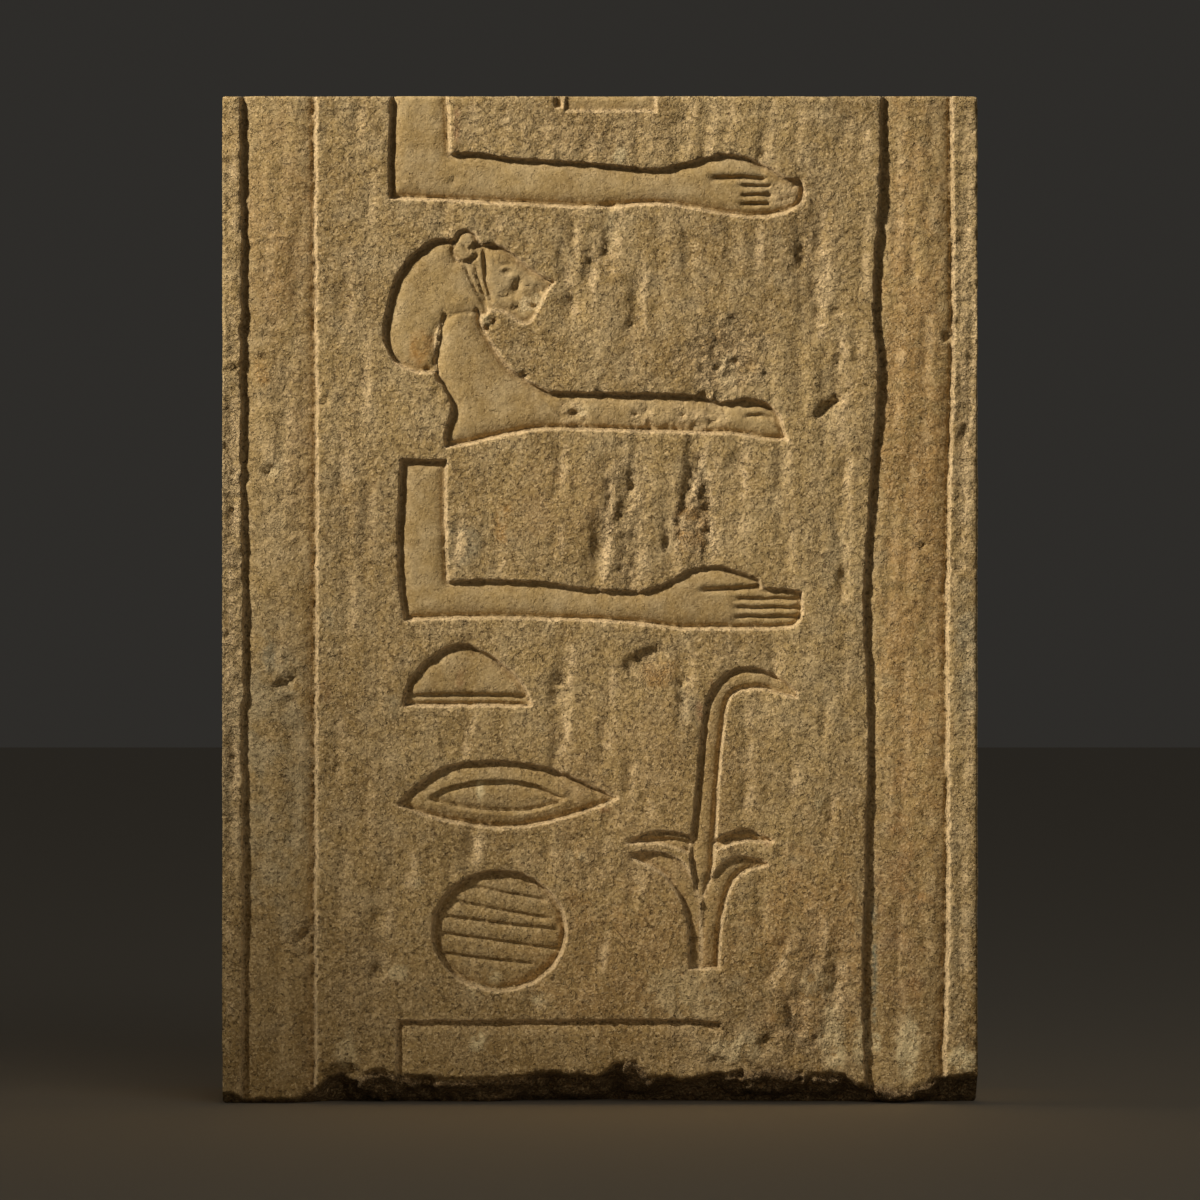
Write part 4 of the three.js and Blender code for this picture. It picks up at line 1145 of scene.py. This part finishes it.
@dataclass(frozen=True)
class TooledSurface:
    """The mason's strokes and the stone's own grain as real relief, made by Geometry Nodes.

    Attributes:
        grain_width: width of the small bumps that rain and sand left, in metres.
        grain_depth: their height.
        stroke_width: width of one stroke of the point chisel on the rough faces.
        stroke_length: its length.
        stroke_depth: how deep it is.
        seed: picks which pattern of all is used.
    """

    grain_width: float = 0.0042
    grain_depth: float = 0.0006
    stroke_width: float = 0.011
    stroke_length: float = 0.034
    stroke_depth: float = 0.0009
    seed: float = 4.0

    def tree(self) -> tuple[bpy.types.NodeTree, dict[str, str]]:
        """Builds the tree.

        Returns:
            The tree, and the identifier of each of its named inputs.
        """
        tree = bpy.data.node_groups.new("tooled_surface", "GeometryNodeTree")
        floats = ("Grain Width", "Grain Depth", "Stroke Width", "Stroke Length", "Stroke Depth", "Seed")
        kinds = dict.fromkeys(floats, "Float") | {"Stone": "Material"}
        tree.interface.new_socket("Geometry", in_out="INPUT", socket_type="NodeSocketGeometry")
        tree.interface.new_socket("Geometry", in_out="OUTPUT", socket_type="NodeSocketGeometry")
        identifiers = {
            name: tree.interface.new_socket(name, in_out="INPUT", socket_type=f"NodeSocket{kind}").identifier
            for name, kind in kinds.items()
        }
        given = add_node(tree, "NodeGroupInput").outputs
        position = add_node(tree, "GeometryNodeInputPosition").outputs[0]
        normal = add_node(tree, "GeometryNodeInputNormal").outputs[0]

        def weight(name: str) -> bpy.types.NodeSocket:
            """Reads one of the values on the mesh points."""
            node = add_node(tree, "GeometryNodeInputNamedAttribute", {"Name": name}, data_type="FLOAT")
            return node.outputs["Attribute"]

        def combined(operation: str, a: object, b: object) -> bpy.types.NodeSocket:
            """Does one sum with two values."""
            return add_node(tree, "ShaderNodeMath", {0: a, 1: b}, operation=operation).outputs[0]

        grain_weight, tooled_weight = weight("grain"), weight("tooled")
        finer = combined("DIVIDE", 1.0, given["Grain Width"])
        grain = add_node(
            tree, "ShaderNodeTexNoise",
            {"Vector": position, "W": given["Seed"], "Scale": finer, "Detail": 2.0, "Roughness": 0.6},
            noise_dimensions="4D",
        ).outputs[0]
        bumps = combined("MULTIPLY", combined("SUBTRACT", grain, 0.5), given["Grain Depth"])
        bumps = combined("MULTIPLY", bumps, grain_weight)
        # Strokes lean over, so the place is turned before it is squeezed to the shape of a stroke.
        leaning = add_node(
            tree, "ShaderNodeVectorRotate", {"Vector": position, "Rotation": (0.45, 0.6, 0.5)},
            rotation_type="EULER_XYZ",
        ).outputs[0]
        wide = combined("DIVIDE", 1.0, given["Stroke Width"])
        long = combined("DIVIDE", 1.0, given["Stroke Length"])
        shape = add_node(tree, "ShaderNodeCombineXYZ", {"X": wide, "Y": wide, "Z": long}).outputs[0]
        squeezed = add_node(
            tree, "ShaderNodeVectorMath", {0: leaning, 1: shape}, operation="MULTIPLY",
        ).outputs[0]
        struck = add_node(
            tree, "ShaderNodeTexVoronoi",
            {"Vector": squeezed, "W": given["Seed"], "Scale": 1.0, "Randomness": 0.85},
            voronoi_dimensions="4D", feature="SMOOTH_F1",
        ).outputs["Distance"]
        strokes = combined("MULTIPLY", combined("SUBTRACT", struck, 0.55), given["Stroke Depth"])
        strokes = combined("MULTIPLY", strokes, tooled_weight)
        both = combined("ADD", bumps, strokes)
        moved = add_node(
            tree, "ShaderNodeVectorMath", {0: normal, "Scale": both}, operation="SCALE",
        ).outputs[0]
        placed = add_node(tree, "GeometryNodeSetPosition", {"Geometry": given["Geometry"], "Offset": moved})
        real = add_node(tree, "GeometryNodeRealizeInstances", {"Geometry": placed.outputs[0]})
        surface = {"Geometry": real.outputs[0], "Material": given["Stone"]}
        dressed = add_node(tree, "GeometryNodeSetMaterial", surface)
        add_node(tree, "NodeGroupOutput", {"Geometry": dressed.outputs[0]})
        return tree, identifiers

    def work(self, piece: bpy.types.Object, stone: bpy.types.Material) -> None:
        """Works the surface of a piece and leaves it a plain mesh with its material on."""
        tree, identifiers = self.tree()
        modifier = piece.modifiers.new("tooled_surface", "NODES")
        modifier.node_group = tree
        sizes = {
            "Grain Width": self.grain_width, "Grain Depth": self.grain_depth,
            "Stroke Width": self.stroke_width, "Stroke Length": self.stroke_length,
            "Stroke Depth": self.stroke_depth, "Seed": self.seed, "Stone": stone,
        }
        for name, value in sizes.items():
            modifier[identifiers[name]] = value
        graph = bpy.context.evaluated_depsgraph_get()
        worked = bpy.data.meshes.new_from_object(
            piece.evaluated_get(graph), preserve_all_data_layers=True, depsgraph=graph
        )
        piece.modifiers.clear()
        piece.data = worked


@dataclass
class ReliefBlock:
    """The carved block as one closed piece of stone.

    Attributes:
        size: the sawn block.
        face: its carved face.
        stains: where its face has changed colour.
        spacing: distance between mesh points on the plain parts of the face.
        gap: the least distance between mesh points along edges.
        side_spacing: the widest distance between mesh points on the four sides.
        back_spacing: the same on the back.
        columns: how many steps the face's outline takes along its foot and its top.
        rows: how many it takes up each side.
    """

    size: BlockSize
    face: CarvedFace
    stains: Stains
    spacing: float = 2.0
    gap: float = 0.62
    side_spacing: float = 6.2
    back_spacing: float = 8.0
    columns: int = 330
    rows: int = 440

    def face_points(self) -> tuple[np.ndarray, int]:
        """Lays out the mesh points of the carved face, measured from its lower left corner.

        Returns:
            The points, those of the outline first, and how many those are.
        """
        width, height = self.size.width, self.size.height
        across = np.linspace(0, width, self.columns + 1)[:-1]
        up = np.linspace(0, height, self.rows + 1)[:-1]
        outline = np.vstack([
            np.column_stack([across, np.zeros_like(across)]),
            np.column_stack([np.full_like(up, width), up]),
            np.column_stack([width - across, np.full_like(across, height)]),
            np.column_stack([np.zeros_like(up), height - up]),
        ])
        shift = np.array([width / 2, 0])
        foot = scattered((width, 26), 1.25, 3)
        foot = foot[foot[:, 1] < self.face.foot.height(foot - shift, self.face.weathering.noise) + 3]
        busy = scattered((width, height), 1.35, 4)
        rough = self.face.weathering.crumbling(busy - shift) > 0.55
        groups = [row + shift for row in self.face.edge_points()]
        rows = spread_out([*groups[:2], foot, *groups[2:]], self.gap)
        rows = rows[(rows > 0.6).all(1) & (rows < (width - 0.6, height - 0.6)).all(1)]
        kept = [rows]
        for extra, least in ((busy[rough], 0.95), (scattered((width, height), self.spacing, 7), 1.3)):
            tree = kdtree.KDTree(sum(len(group) for group in kept))
            for number, (x, z) in enumerate(np.vstack(kept).tolist()):
                tree.insert((x, z, 0), number)
            tree.balance()
            far = [tree.find((x, z, 0))[2] > least for x, z in extra.tolist()]
            kept.append(extra[np.array(far)])
        return np.vstack([outline, *kept]) - shift, len(outline)

    def build(self) -> bpy.types.Object:
        """Builds the block's mesh with the values that its material reads."""
        half = self.size.thickness / 2
        flat, loop = self.face_points()
        read = self.face.measure(flat)
        skin = Skin()
        front = skin.add(np.column_stack([flat[:, 0], read["depth"] - half, flat[:, 1]]))
        skin.cover(flat, front, loop, (0, -1, 0))
        LOG.info("carved face: %d points", len(flat))
        self.close(skin, front[:loop])
        points = np.vstack(skin.points)
        triangles = np.vstack(skin.triangles)
        values = self.values(points, read)
        points = self.worn_arrises(points)
        mesh = bpy.data.meshes.new("relief_stone")
        mesh.from_pydata((points * MM).tolist(), [], triangles.tolist())
        mesh.validate()
        mesh.shade_smooth()
        for name, value in values.items():
            mesh.attributes.new(name, "FLOAT", "POINT").data.foreach_set("value", value.astype(np.float32))
        piece = bpy.data.objects.new("relief_stone", mesh)
        bpy.context.scene.collection.objects.link(piece)
        return piece

    def close(self, skin: Skin, rim: np.ndarray) -> None:
        """Adds the sides, top, underside and back behind the rim of the carved face.

        Args:
            skin: the surface so far.
            rim: numbers of the face's outline, anticlockwise from its lower left corner.
        """
        width, height, half = self.size.width, self.size.height, self.size.thickness / 2
        places = np.vstack(skin.points)
        corners = [0, self.columns, self.columns + self.rows, 2 * self.columns + self.rows]
        backs = []
        for corner in corners:
            x, y, z = places[rim[corner]]
            evenly = np.arange(17.5, half - y - 3, self.side_spacing)
            steps = np.concatenate([[1.2, 2.8, 5.0, 8.0, 12.0], evenly])
            run = skin.add(np.column_stack([np.full_like(steps, x), y + steps, np.full_like(steps, z)]))
            backs.append((run, skin.add([(x, half, z)])[0]))
        back_rim: list[np.ndarray] = []
        for side, (start, end) in enumerate(zip(corners, [*corners[1:], len(rim)])):
            front_edge = np.concatenate([rim[start:end], rim[[end % len(rim)]]])
            (run_a, back_a), (run_b, back_b) = backs[side], backs[(side + 1) % 4]
            a, b = places[front_edge[0]], places[front_edge[-1]]
            length = abs(b[0] - a[0]) + abs(b[2] - a[2])
            shares = np.linspace(0, 1, round(length / self.side_spacing) + 1)[1:-1, None]
            far_a, far_b = np.array([a[0], half, a[2]]), np.array([b[0], half, b[2]])
            back_edge = skin.add(far_a + (far_b - far_a) * shares)
            back_rim.append(np.concatenate([[back_a], back_edge]))
            loop = np.concatenate([front_edge, run_b, [back_b], back_edge[::-1], [back_a], run_a[::-1]])
            ahead = (b - a) * (1, 0, 1) / length
            lip = places[front_edge]
            travelled = (lip - a) @ ahead
            inner = []
            for row, reach in enumerate([1.3, 3.0, 5.4, 8.4, 12.0, 16.5, *np.arange(22, 114, 6.1), 116.5]):
                gap = min(1.7 * 1.35**row, self.side_spacing)
                along = np.arange(gap * (0.4 + 0.3 * (row % 2)), length - 0.8, gap)
                level = reach - half
                clear = np.interp(along, travelled, lip[:, 1]) + max(0.9, 0.3 * gap)
                keep = along[(level > clear) & (along > 0.8)]
                inner.append(np.column_stack([keep, np.full_like(keep, level)]))
            inside_points = np.vstack(inner)
            spots = a * (1, 0, 1) + inside_points[:, :1] * ahead + inside_points[:, 1:] * (0, 1, 0)
            numbers = np.concatenate([loop, skin.add(spots)])
            every = np.vstack(skin.points)[numbers]
            laid = np.column_stack([(every - a) @ ahead, every[:, 1]])
            outward = [(0, 0, -1), (1, 0, 0), (0, 0, 1), (-1, 0, 0)][side]
            skin.cover(laid, numbers, len(loop), outward)
        loop = np.concatenate(back_rim)
        inner = scattered((width, height), self.back_spacing, 9)
        inner = inner[(inner > 2.5).all(1) & (inner < (width - 2.5, height - 2.5)).all(1)] - (width / 2, 0)
        added = skin.add(np.column_stack([inner[:, 0], np.full(len(inner), half), inner[:, 1]]))
        numbers = np.concatenate([loop, added])
        every = np.vstack(skin.points)[numbers]
        skin.cover(every[:, [0, 2]], numbers, len(loop), (0, 1, 0))

    def worn_arrises(self, points: np.ndarray) -> np.ndarray:
        """Takes the sharpness off the sawn block's edges, with a few larger chips at the back."""
        sizes = np.array([self.size.width / 2, self.size.thickness / 2, self.size.height / 2])
        centred = points - (0, 0, sizes[2])
        inset = sizes - np.abs(centred)
        noise = StoneNoise(23)
        along = np.column_stack([centred @ (1.0, 0.35, 0.9), centred @ (0.2, 1.0, -0.7)])
        uneven = noise.layered(along, (16.0, 16.0), 3)
        behind = ease((points[:, 1] + 40) / 30)
        reach = 1.6 + 2.6 * behind + 5 * np.clip(uneven - 0.25, 0, 1) * (0.15 + behind)
        closeness = np.clip(1 - inset / reach[:, None], 0, 1) ** 2
        moved = np.zeros_like(points)
        for axis in range(3):
            others = np.maximum.reduce([closeness[:, other] for other in range(3) if other != axis])
            moved[:, axis] = -np.sign(centred[:, axis]) * 0.32 * reach * closeness[:, axis] * others
        return points + moved

    def values(self, points: np.ndarray, read: dict[str, np.ndarray]) -> dict[str, np.ndarray]:
        """Gives each mesh point the values that the relief nodes and the material read."""
        count, rest = len(read["depth"]), len(points) - len(read["depth"])
        flat = points[:count, [0, 2]]
        noise = self.face.noise

        def padded(value: np.ndarray, elsewhere: float = 0.0) -> np.ndarray:
            """Carries a value of the face on over the other sides."""
            return np.concatenate([value, np.full(rest, elsewhere)])

        def stain(patches: tuple[Patch, ...]) -> np.ndarray:
            """Adds up the patches of one colour."""
            return padded(np.clip(sum(patch.share(flat, noise) for patch in patches), 0, 1))

        edge = read["edge"]
        # Paler walls and rims: partly worn edges, partly painted highlight where the walls catch the light.
        rim = ease((edge + 0.9) / 0.6) * ease((2.0 - edge) / 0.9)
        # Painted shade: darkens the feet of the figures' walls, where shade falls.
        shelter = ease(edge / 0.9) * np.exp(-np.clip(edge - 1.9, 0, None) / 1.6)
        grain = 1 - 0.75 * read["carved"] + 1.2 * read["crumbled"] + 1.2 * read["broken"]
        return {
            "grain": padded(grain, 1.0), "tooled": padded(np.zeros(count), 1.0), "rim": padded(rim),
            # Painted shade also along the cut lines.
            "shelter": padded(np.maximum(shelter, 0.7 * read["cut"])), "carved": padded(read["carved"]),
            "scuffed": padded(read["scuffed"]),
            "crumbled": padded(np.maximum(read["crumbled"], read["broken"]), 0.3),
            **{
                name: stain(getattr(self.stains, name))
                for name in ("ochre", "grey", "lime", "rust", "verdigris")
            },
            "broken": padded(read["broken"]),
        }


@dataclass(frozen=True)
class TanSandstone:
    """Porous quartz sandstone, cut by chisel and weathered: matt, with grains that catch a low light.

    The eye gets warm tan speckled with paler grains and dark pores, the pores partly painted shade in
    the pits of the bump; painted shade in the feet of the cuts and on the broken foot; darker towards the
    bottom; paler walls, rims and steep sides of strokes, partly worn and partly painted highlight; and here
    and there ochre, grey, lime or rust.
    """

    body: str = "#BB9E69"
    pale: str = "#CDB68C"
    deep: str = "#8C7042"
    dirt_and_shade: str = "#5C4226"
    fresh_and_highlight: str = "#E6C795"
    ochre: str = "#B07A2E"
    grey: str = "#A29677"
    lime: str = "#E6D09E"
    rust: str = "#8A4F30"
    verdigris: str = "#66776B"
    grain_mm: float = 0.95
    blotch_mm: float = 14.0
    cloud_mm: float = 75.0
    roughness: float = 0.93

    def material(self) -> bpy.types.Material:
        """Builds the shader from the object's own coordinates and the values on its points."""
        stone = bpy.data.materials.new("tan_sandstone")
        stone.use_nodes = True
        tree = stone.node_tree
        tree.nodes.clear()
        place = add_node(tree, "ShaderNodeTexCoord").outputs["Object"]
        height = add_node(tree, "ShaderNodeSeparateXYZ", {0: place}).outputs["Z"]

        def layer(
            width_mm: float, detail: float, roughness: float = 0.55, shape: Sequence[float] = (1, 1, 1),
            turn: Sequence[float] = (0, 0, 0),
        ) -> bpy.types.NodeSocket:
            """One layer of noise whose lumps have a real width."""
            turned = add_node(
                tree, "ShaderNodeMapping", {"Vector": place, "Rotation": tuple(turn)},
            ).outputs[0]
            laid = add_node(tree, "ShaderNodeMapping", {"Vector": turned, "Scale": tuple(shape)}).outputs[0]
            inputs = {"Vector": laid, "Scale": 1 / (width_mm * MM), "Detail": detail, "Roughness": roughness}
            return add_node(tree, "ShaderNodeTexNoise", inputs).outputs[0]

        def spread(
            value: bpy.types.NodeSocket, low: float, high: float, least: float = 0.0, most: float = 1.0,
        ) -> bpy.types.NodeSocket:
            """Stretches a value between two levels over a range."""
            inputs = {"Value": value, "From Min": low, "From Max": high, "To Min": least, "To Max": most}
            return add_node(tree, "ShaderNodeMapRange", inputs).outputs[0]

        def tint(share: bpy.types.NodeSocket, under: bpy.types.NodeSocket, code: str) -> bpy.types.NodeSocket:
            """Lays one colour over what is there by a share."""
            inputs = {"Factor": share, 6: under, 7: linear(code)}
            return add_node(tree, "ShaderNodeMix", inputs, data_type="RGBA").outputs[2]

        def value(name: str) -> bpy.types.NodeSocket:
            """Reads one of the values on the mesh points."""
            return add_node(tree, "ShaderNodeAttribute", attribute_name=name).outputs["Fac"]

        def times(a: bpy.types.NodeSocket, b: bpy.types.NodeSocket | float) -> bpy.types.NodeSocket:
            """Multiplies two shares."""
            product = add_node(tree, "ShaderNodeMath", {0: a, 1: b}, operation="MULTIPLY", use_clamp=True)
            return product.outputs[0]

        clouds = layer(self.cloud_mm, 3.0)
        blotches = layer(self.blotch_mm, 4.0, 0.6)
        runs = layer(self.blotch_mm, 3.0, 0.6, (1, 1, 0.1))
        flecks = layer(2.6 * self.grain_mm, 3.0, 0.7)
        chips = layer(7.5 * self.grain_mm, 5.0, 0.7)
        hairs = layer(1.7 * self.grain_mm, 1.0, 0.5, (1, 1, 0.05), (0, 0.75, 0))
        sand = add_node(
            tree, "ShaderNodeTexVoronoi",
            {"Vector": place, "Scale": 1 / (self.grain_mm * MM), "Randomness": 1.0},
            feature="F1",
        ).outputs
        shade = add_node(tree, "ShaderNodeSeparateColor", {0: sand["Color"]}).outputs[0]

        mixed = {"Factor": spread(clouds, 0.38, 0.68, 0, 0.6), 6: linear(self.body), 7: linear(self.deep)}
        colour = add_node(tree, "ShaderNodeMix", mixed, data_type="RGBA").outputs[2]
        colour = tint(spread(blotches, 0.42, 0.72, 0, 0.55), colour, self.pale)
        colour = tint(spread(runs, 0.5, 0.72, 0, 0.35), colour, self.deep)
        # Darker towards the bottom.
        colour = tint(spread(height, 0.2, 0.02, 0, 0.5), colour, self.deep)
        broken_up = spread(blotches, 0.38, 0.56, 0.15, 1)
        stains = (
            ("grey", self.grey, 0.75), ("ochre", self.ochre, 0.7), ("rust", self.rust, 0.65),
            ("lime", self.lime, 0.85), ("verdigris", self.verdigris, 0.8),
        )
        for name, code, most in stains:
            where = spread(chips, 0.42, 0.5, 0.1, 1) if name == "lime" else broken_up
            colour = tint(times(times(value(name), where), most), colour, code)
        # Paler walls and rims: partly worn edges, partly painted highlight where the walls catch the light.
        colour = tint(times(value("rim"), spread(blotches, 0.3, 0.6, 0.35, 1)), colour, self.fresh_and_highlight)
        # Pale steep side of the strokes: partly rubbed stone, partly painted highlight where the key light
        # falls.
        colour = tint(times(value("scuffed"), spread(chips, 0.44, 0.52, 0.1, 1)), colour, self.fresh_and_highlight)
        colour = tint(times(value("crumbled"), spread(chips, 0.4, 0.6, 0.1, 0.7)), colour, self.fresh_and_highlight)
        # Painted shade in the feet of the walls and in the cut lines.
        colour = tint(times(value("shelter"), 0.22), colour, self.dirt_and_shade)
        # Painted shade on the broken foot, which recedes under the face.
        colour = tint(times(value("broken"), 0.7), colour, self.dirt_and_shade)
        open_grain = spread(value("carved"), 0, 1, 1, 0.5)
        # Dark pores: partly the stone's colour, partly painted shade in the pits that the flecks bump sinks.
        colour = tint(times(spread(flecks, 0.42, 0.32, 0, 0.5), open_grain), colour, self.dirt_and_shade)
        colour = tint(times(spread(shade, 0.6, 1, 0, 0.46), open_grain), colour, self.fresh_and_highlight)
        colour = tint(times(spread(shade, 0.4, 0, 0, 0.44), open_grain), colour, self.dirt_and_shade)

        rough = spread(value("carved"), 0, 1, 1, 0.45)
        rubbly = spread(value("crumbled"), 0, 1, 0.32, 0.75)
        heights = (
            (shade, 0.4, rough),
            (spread(flecks, 0.34, 0.43), 0.8, rough),
            (chips, 5.0, times(rough, rubbly)),
            (spread(chips, 0.42, 0.5), 1.3, times(rough, rubbly)),
            (spread(chips, 0.55, 0.6), 1.0, times(rough, rubbly)),
            (spread(hairs, 0.26, 0.31), 0.35, rough),
        )
        normal = None
        for relief, reach_mm, strength in heights:
            inputs = {"Height": relief, "Strength": strength, "Distance": reach_mm * MM}
            below = {"Normal": normal} if normal else {}
            normal = add_node(tree, "ShaderNodeBump", inputs | below).outputs[0]
        surface = {
            "Base Color": colour, "Normal": normal, "Roughness": self.roughness, "IOR": 1.5,
            "Specular IOR Level": 0.25,
        }
        shader = add_node(tree, "ShaderNodeBsdfPrincipled", surface)
        add_node(tree, "ShaderNodeOutputMaterial", {"Surface": shader.outputs[0]})
        return stone


@dataclass(frozen=True)
class Studio:
    """Camera, lights and floor.

    Attributes:
        frame: width and height of what the camera sees at the carved face, in metres.
        lens: focal length, in millimetres on a 36 millimetre frame.
        key: power of the low light from the upper left, in watts.
        fill: power of the wide soft light that opens the shadows.
        bounce: power of the weak warm light that comes up off the ground into the broken foot.
        back: power of the soft light on the back and the right side, which the face never sees.
        beam: how wide the key's cone is, in degrees.
        softness: radius of the key, in metres.
        floor: colour of the floor.
    """

    frame: float = 0.6
    lens: float = 200.0
    key: float = 1000.0
    fill: float = 9.0
    bounce: float = 0.15
    back: float = 60.0
    beam: float = 15.0
    softness: float = 0.15
    floor: str = "#D8D0C2"

    def camera(self, face_y: float, middle: float) -> None:
        """Sets the camera square to the face, with the block filling the photograph's part of the frame."""
        data = bpy.data.cameras.new("camera")
        data.lens = self.lens
        data.sensor_width = SENSOR_MM
        data.clip_end = 50.0
        camera = bpy.data.objects.new("camera", data)
        camera.location = (0, face_y - self.frame * self.lens / SENSOR_MM, middle)
        camera.rotation_euler = (math.pi / 2, 0, 0)
        bpy.context.scene.collection.objects.link(camera)
        bpy.context.scene.camera = camera

    def light(
        self, name: str, power: float, size: float, at: Sequence[float], towards: Sequence[float],
        colour: Sequence[float],
    ) -> bpy.types.Object:
        """Hangs one lamp.

        Args:
            name: what it is called.
            power: in watts.
            size: width of a square soft light in metres, or nought for a narrow spotlight.
            at: where it hangs.
            towards: what it is aimed at.
            colour: its colour as a linear share of red, green and blue.

        Returns:
            The lamp.
        """
        data = bpy.data.lights.new(name, "AREA" if size else "SPOT")
        data.energy = power
        data.color = colour
        if size:
            data.size = size
        else:
            data.shadow_soft_size = self.softness
            data.spot_size = math.radians(self.beam)
            data.spot_blend = 1.0
        lamp = bpy.data.objects.new(name, data)
        lamp.location = at
        beam = np.array(towards) - np.array(at)
        flat = math.hypot(beam[0], beam[1])
        lamp.rotation_euler = (math.atan2(flat, -beam[2]), 0, math.atan2(-beam[0], beam[1]) if flat else 0)
        bpy.context.scene.collection.objects.link(lamp)
        return lamp

    def build(self, stone: bpy.types.Object) -> None:
        """Puts up the lights, the floor and a plain pale surrounding.

        Args:
            stone: the piece that the key, the bounce and the back light are for. The floor is lit by
                the fill and the surrounding alone, so that it throws little light back up at the stone.
        """
        key = self.light("key", self.key, 0.0, (-2.8, -1.72, 2.65), (0.0, -0.06, 0.47), (1.0, 0.95, 0.86))
        lit = bpy.data.collections.new("lit_by_key")
        lit.objects.link(stone)
        bounce = self.light("bounce", self.bounce, 0.3, (0.0, -0.34, 0.03), (0, -0.05, 0.0), (1.0, 0.88, 0.7))
        bounce.visible_camera = False
        behind = self.light("back", self.back, 2.0, (2.6, 2.9, 1.5), (0, 0.06, 0.25), (0.97, 0.97, 1.0))
        for lamp in (key, bounce, behind):
            lamp.light_linking.receiver_collection = lit
        self.light("fill", self.fill, 3.0, (1.6, -2.8, 1.2), (0, 0, 0.25), (1.0, 0.93, 0.8))
        bpy.context.scene.view_settings.view_transform = "Standard"
        world = bpy.data.worlds.new("surrounding")
        world.use_nodes = True
        world.node_tree.nodes["Background"].inputs["Color"].default_value = linear("#D8D2C8")
        world.node_tree.nodes["Background"].inputs["Strength"].default_value = 0.04
        bpy.context.scene.world = world
        paint = bpy.data.materials.new("floor_paint")
        paint.use_nodes = True
        shader = paint.node_tree.nodes["Principled BSDF"]
        shader.inputs["Base Color"].default_value = linear(self.floor)
        shader.inputs["Roughness"].default_value = 0.8
        mesh = bpy.data.meshes.new("floor")
        mesh.from_pydata([(-8, -8, 0), (8, -8, 0), (8, 8, 0), (-8, 8, 0)], [], [(0, 1, 2, 3)])
        mesh.materials.append(paint)
        floor = bpy.data.objects.new("floor", mesh)
        bpy.context.scene.collection.objects.link(floor)


BANDS = (
    Band(
        (
            (-180.5, 514), (-180, 470), (-179.5, 430), (-180, 360), (-179, 250), (-178.5, 206), (-180, 190),
            (-179, 120), (-180, -10),
        ),
        ((-141.5, 514), (-141.5, 420), (-141, 340), (-141, 250), (-141.5, 120), (-141.5, -10)),
    ),
    Band(
        ((140.5, 514), (140, 470), (136.5, 400), (139, 370), (137, 334), (133, 280), (132, 240), (134, 190),
         (132.5, 120), (131, 50), (134, -10)),
        ((176.5, 514), (177.5, 400), (177, 350), (175, 290), (174.5, 200), (175, 110), (174, 50), (172, -10)),
    ),
)

UPPER_ARM = Forearm(
    outer=((-104.5, 516), (-106, 470), (-105.5, 452.5)),
    inner=((-76.5, 516), (-75, 490), (-74.5, 475.5)),
    bottom=(
        (-105.5, 452.5), (-70, 451), (-40, 449.5), (-5, 448), (28, 449.5), (45, 447.5), (60, 445),
        (75, 443), (88, 444), (98, 447.5), (102.5, 453.5), (102.5, 459),
    ),
    top=((-74.5, 475.5), (-60, 476), (-45, 473.5), (-5, 471), (25, 468), (35, 469), (55, 474), (62.5, 475.5),
         (74, 473.5), (85, 468.5), (92, 464), (97, 463), (102, 461.5)),
    thumb=((56, 463), (70, 463.5), (82.5, 462.5)),
    fingers=(((71, 459), (85, 459)), ((71, 454.5), (85, 454.5)), ((71, 450), (85, 450))),
)

LOWER_ARM = Forearm(
    outer=((-100, 322.5), (-101.5, 290), (-101, 262), (-98, 241.5)),
    inner=((-76.5, 322.5), (-76.5, 290), (-75.5, 261.5)),
    bottom=(
        (-98, 241.5), (-60, 242.5), (0, 241), (25, 239), (38, 237.3), (60, 237), (90, 237.3), (98.5, 239.5),
        (101.5, 245), (101.5, 252),
    ),
    top=((-75.5, 261.5), (-60, 262.5), (-30, 261.5), (-5, 258), (20, 257), (35, 261.5), (42.5, 266.5),
         (57.5, 269.5), (68, 267), (79, 263), (82, 258.5), (96, 257.5), (101, 256.5)),
    thumb=((51.5, 257), (65, 257.5), (79, 258.5)),
    fingers=(((68, 252.5), (99.5, 252.5)), ((68, 248), (99.5, 248)), ((68, 243.5), (99.5, 243.5))),
)


def main() -> None:
    """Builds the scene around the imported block."""
    logging.basicConfig(level=logging.INFO, format="%(name)s: %(message)s")
    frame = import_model()
    (_, face_y, _), (_, _, top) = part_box("relief_block")
    studio = Studio()
    studio.camera(face_y, top / 2)
    figures: list[Figure] = [
        *BANDS, CutOffFigure(), UPPER_ARM, LionForepart(), LOWER_ARM, BreadLoaf(), Mouth(), Sieve(),
        SedgePlant(), Basin(),
    ]
    block = ReliefBlock(BlockSize(), CarvedFace(figures, Weathering(), BrokenFoot()), Stains())
    piece = block.build()
    TooledSurface().work(piece, TanSandstone().material())
    LOG.info("relief_stone: %d triangles", len(piece.data.polygons))
    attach(piece, "root")
    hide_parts("relief_block")
    studio.build(piece)


if __name__ == "__main__":
    main()
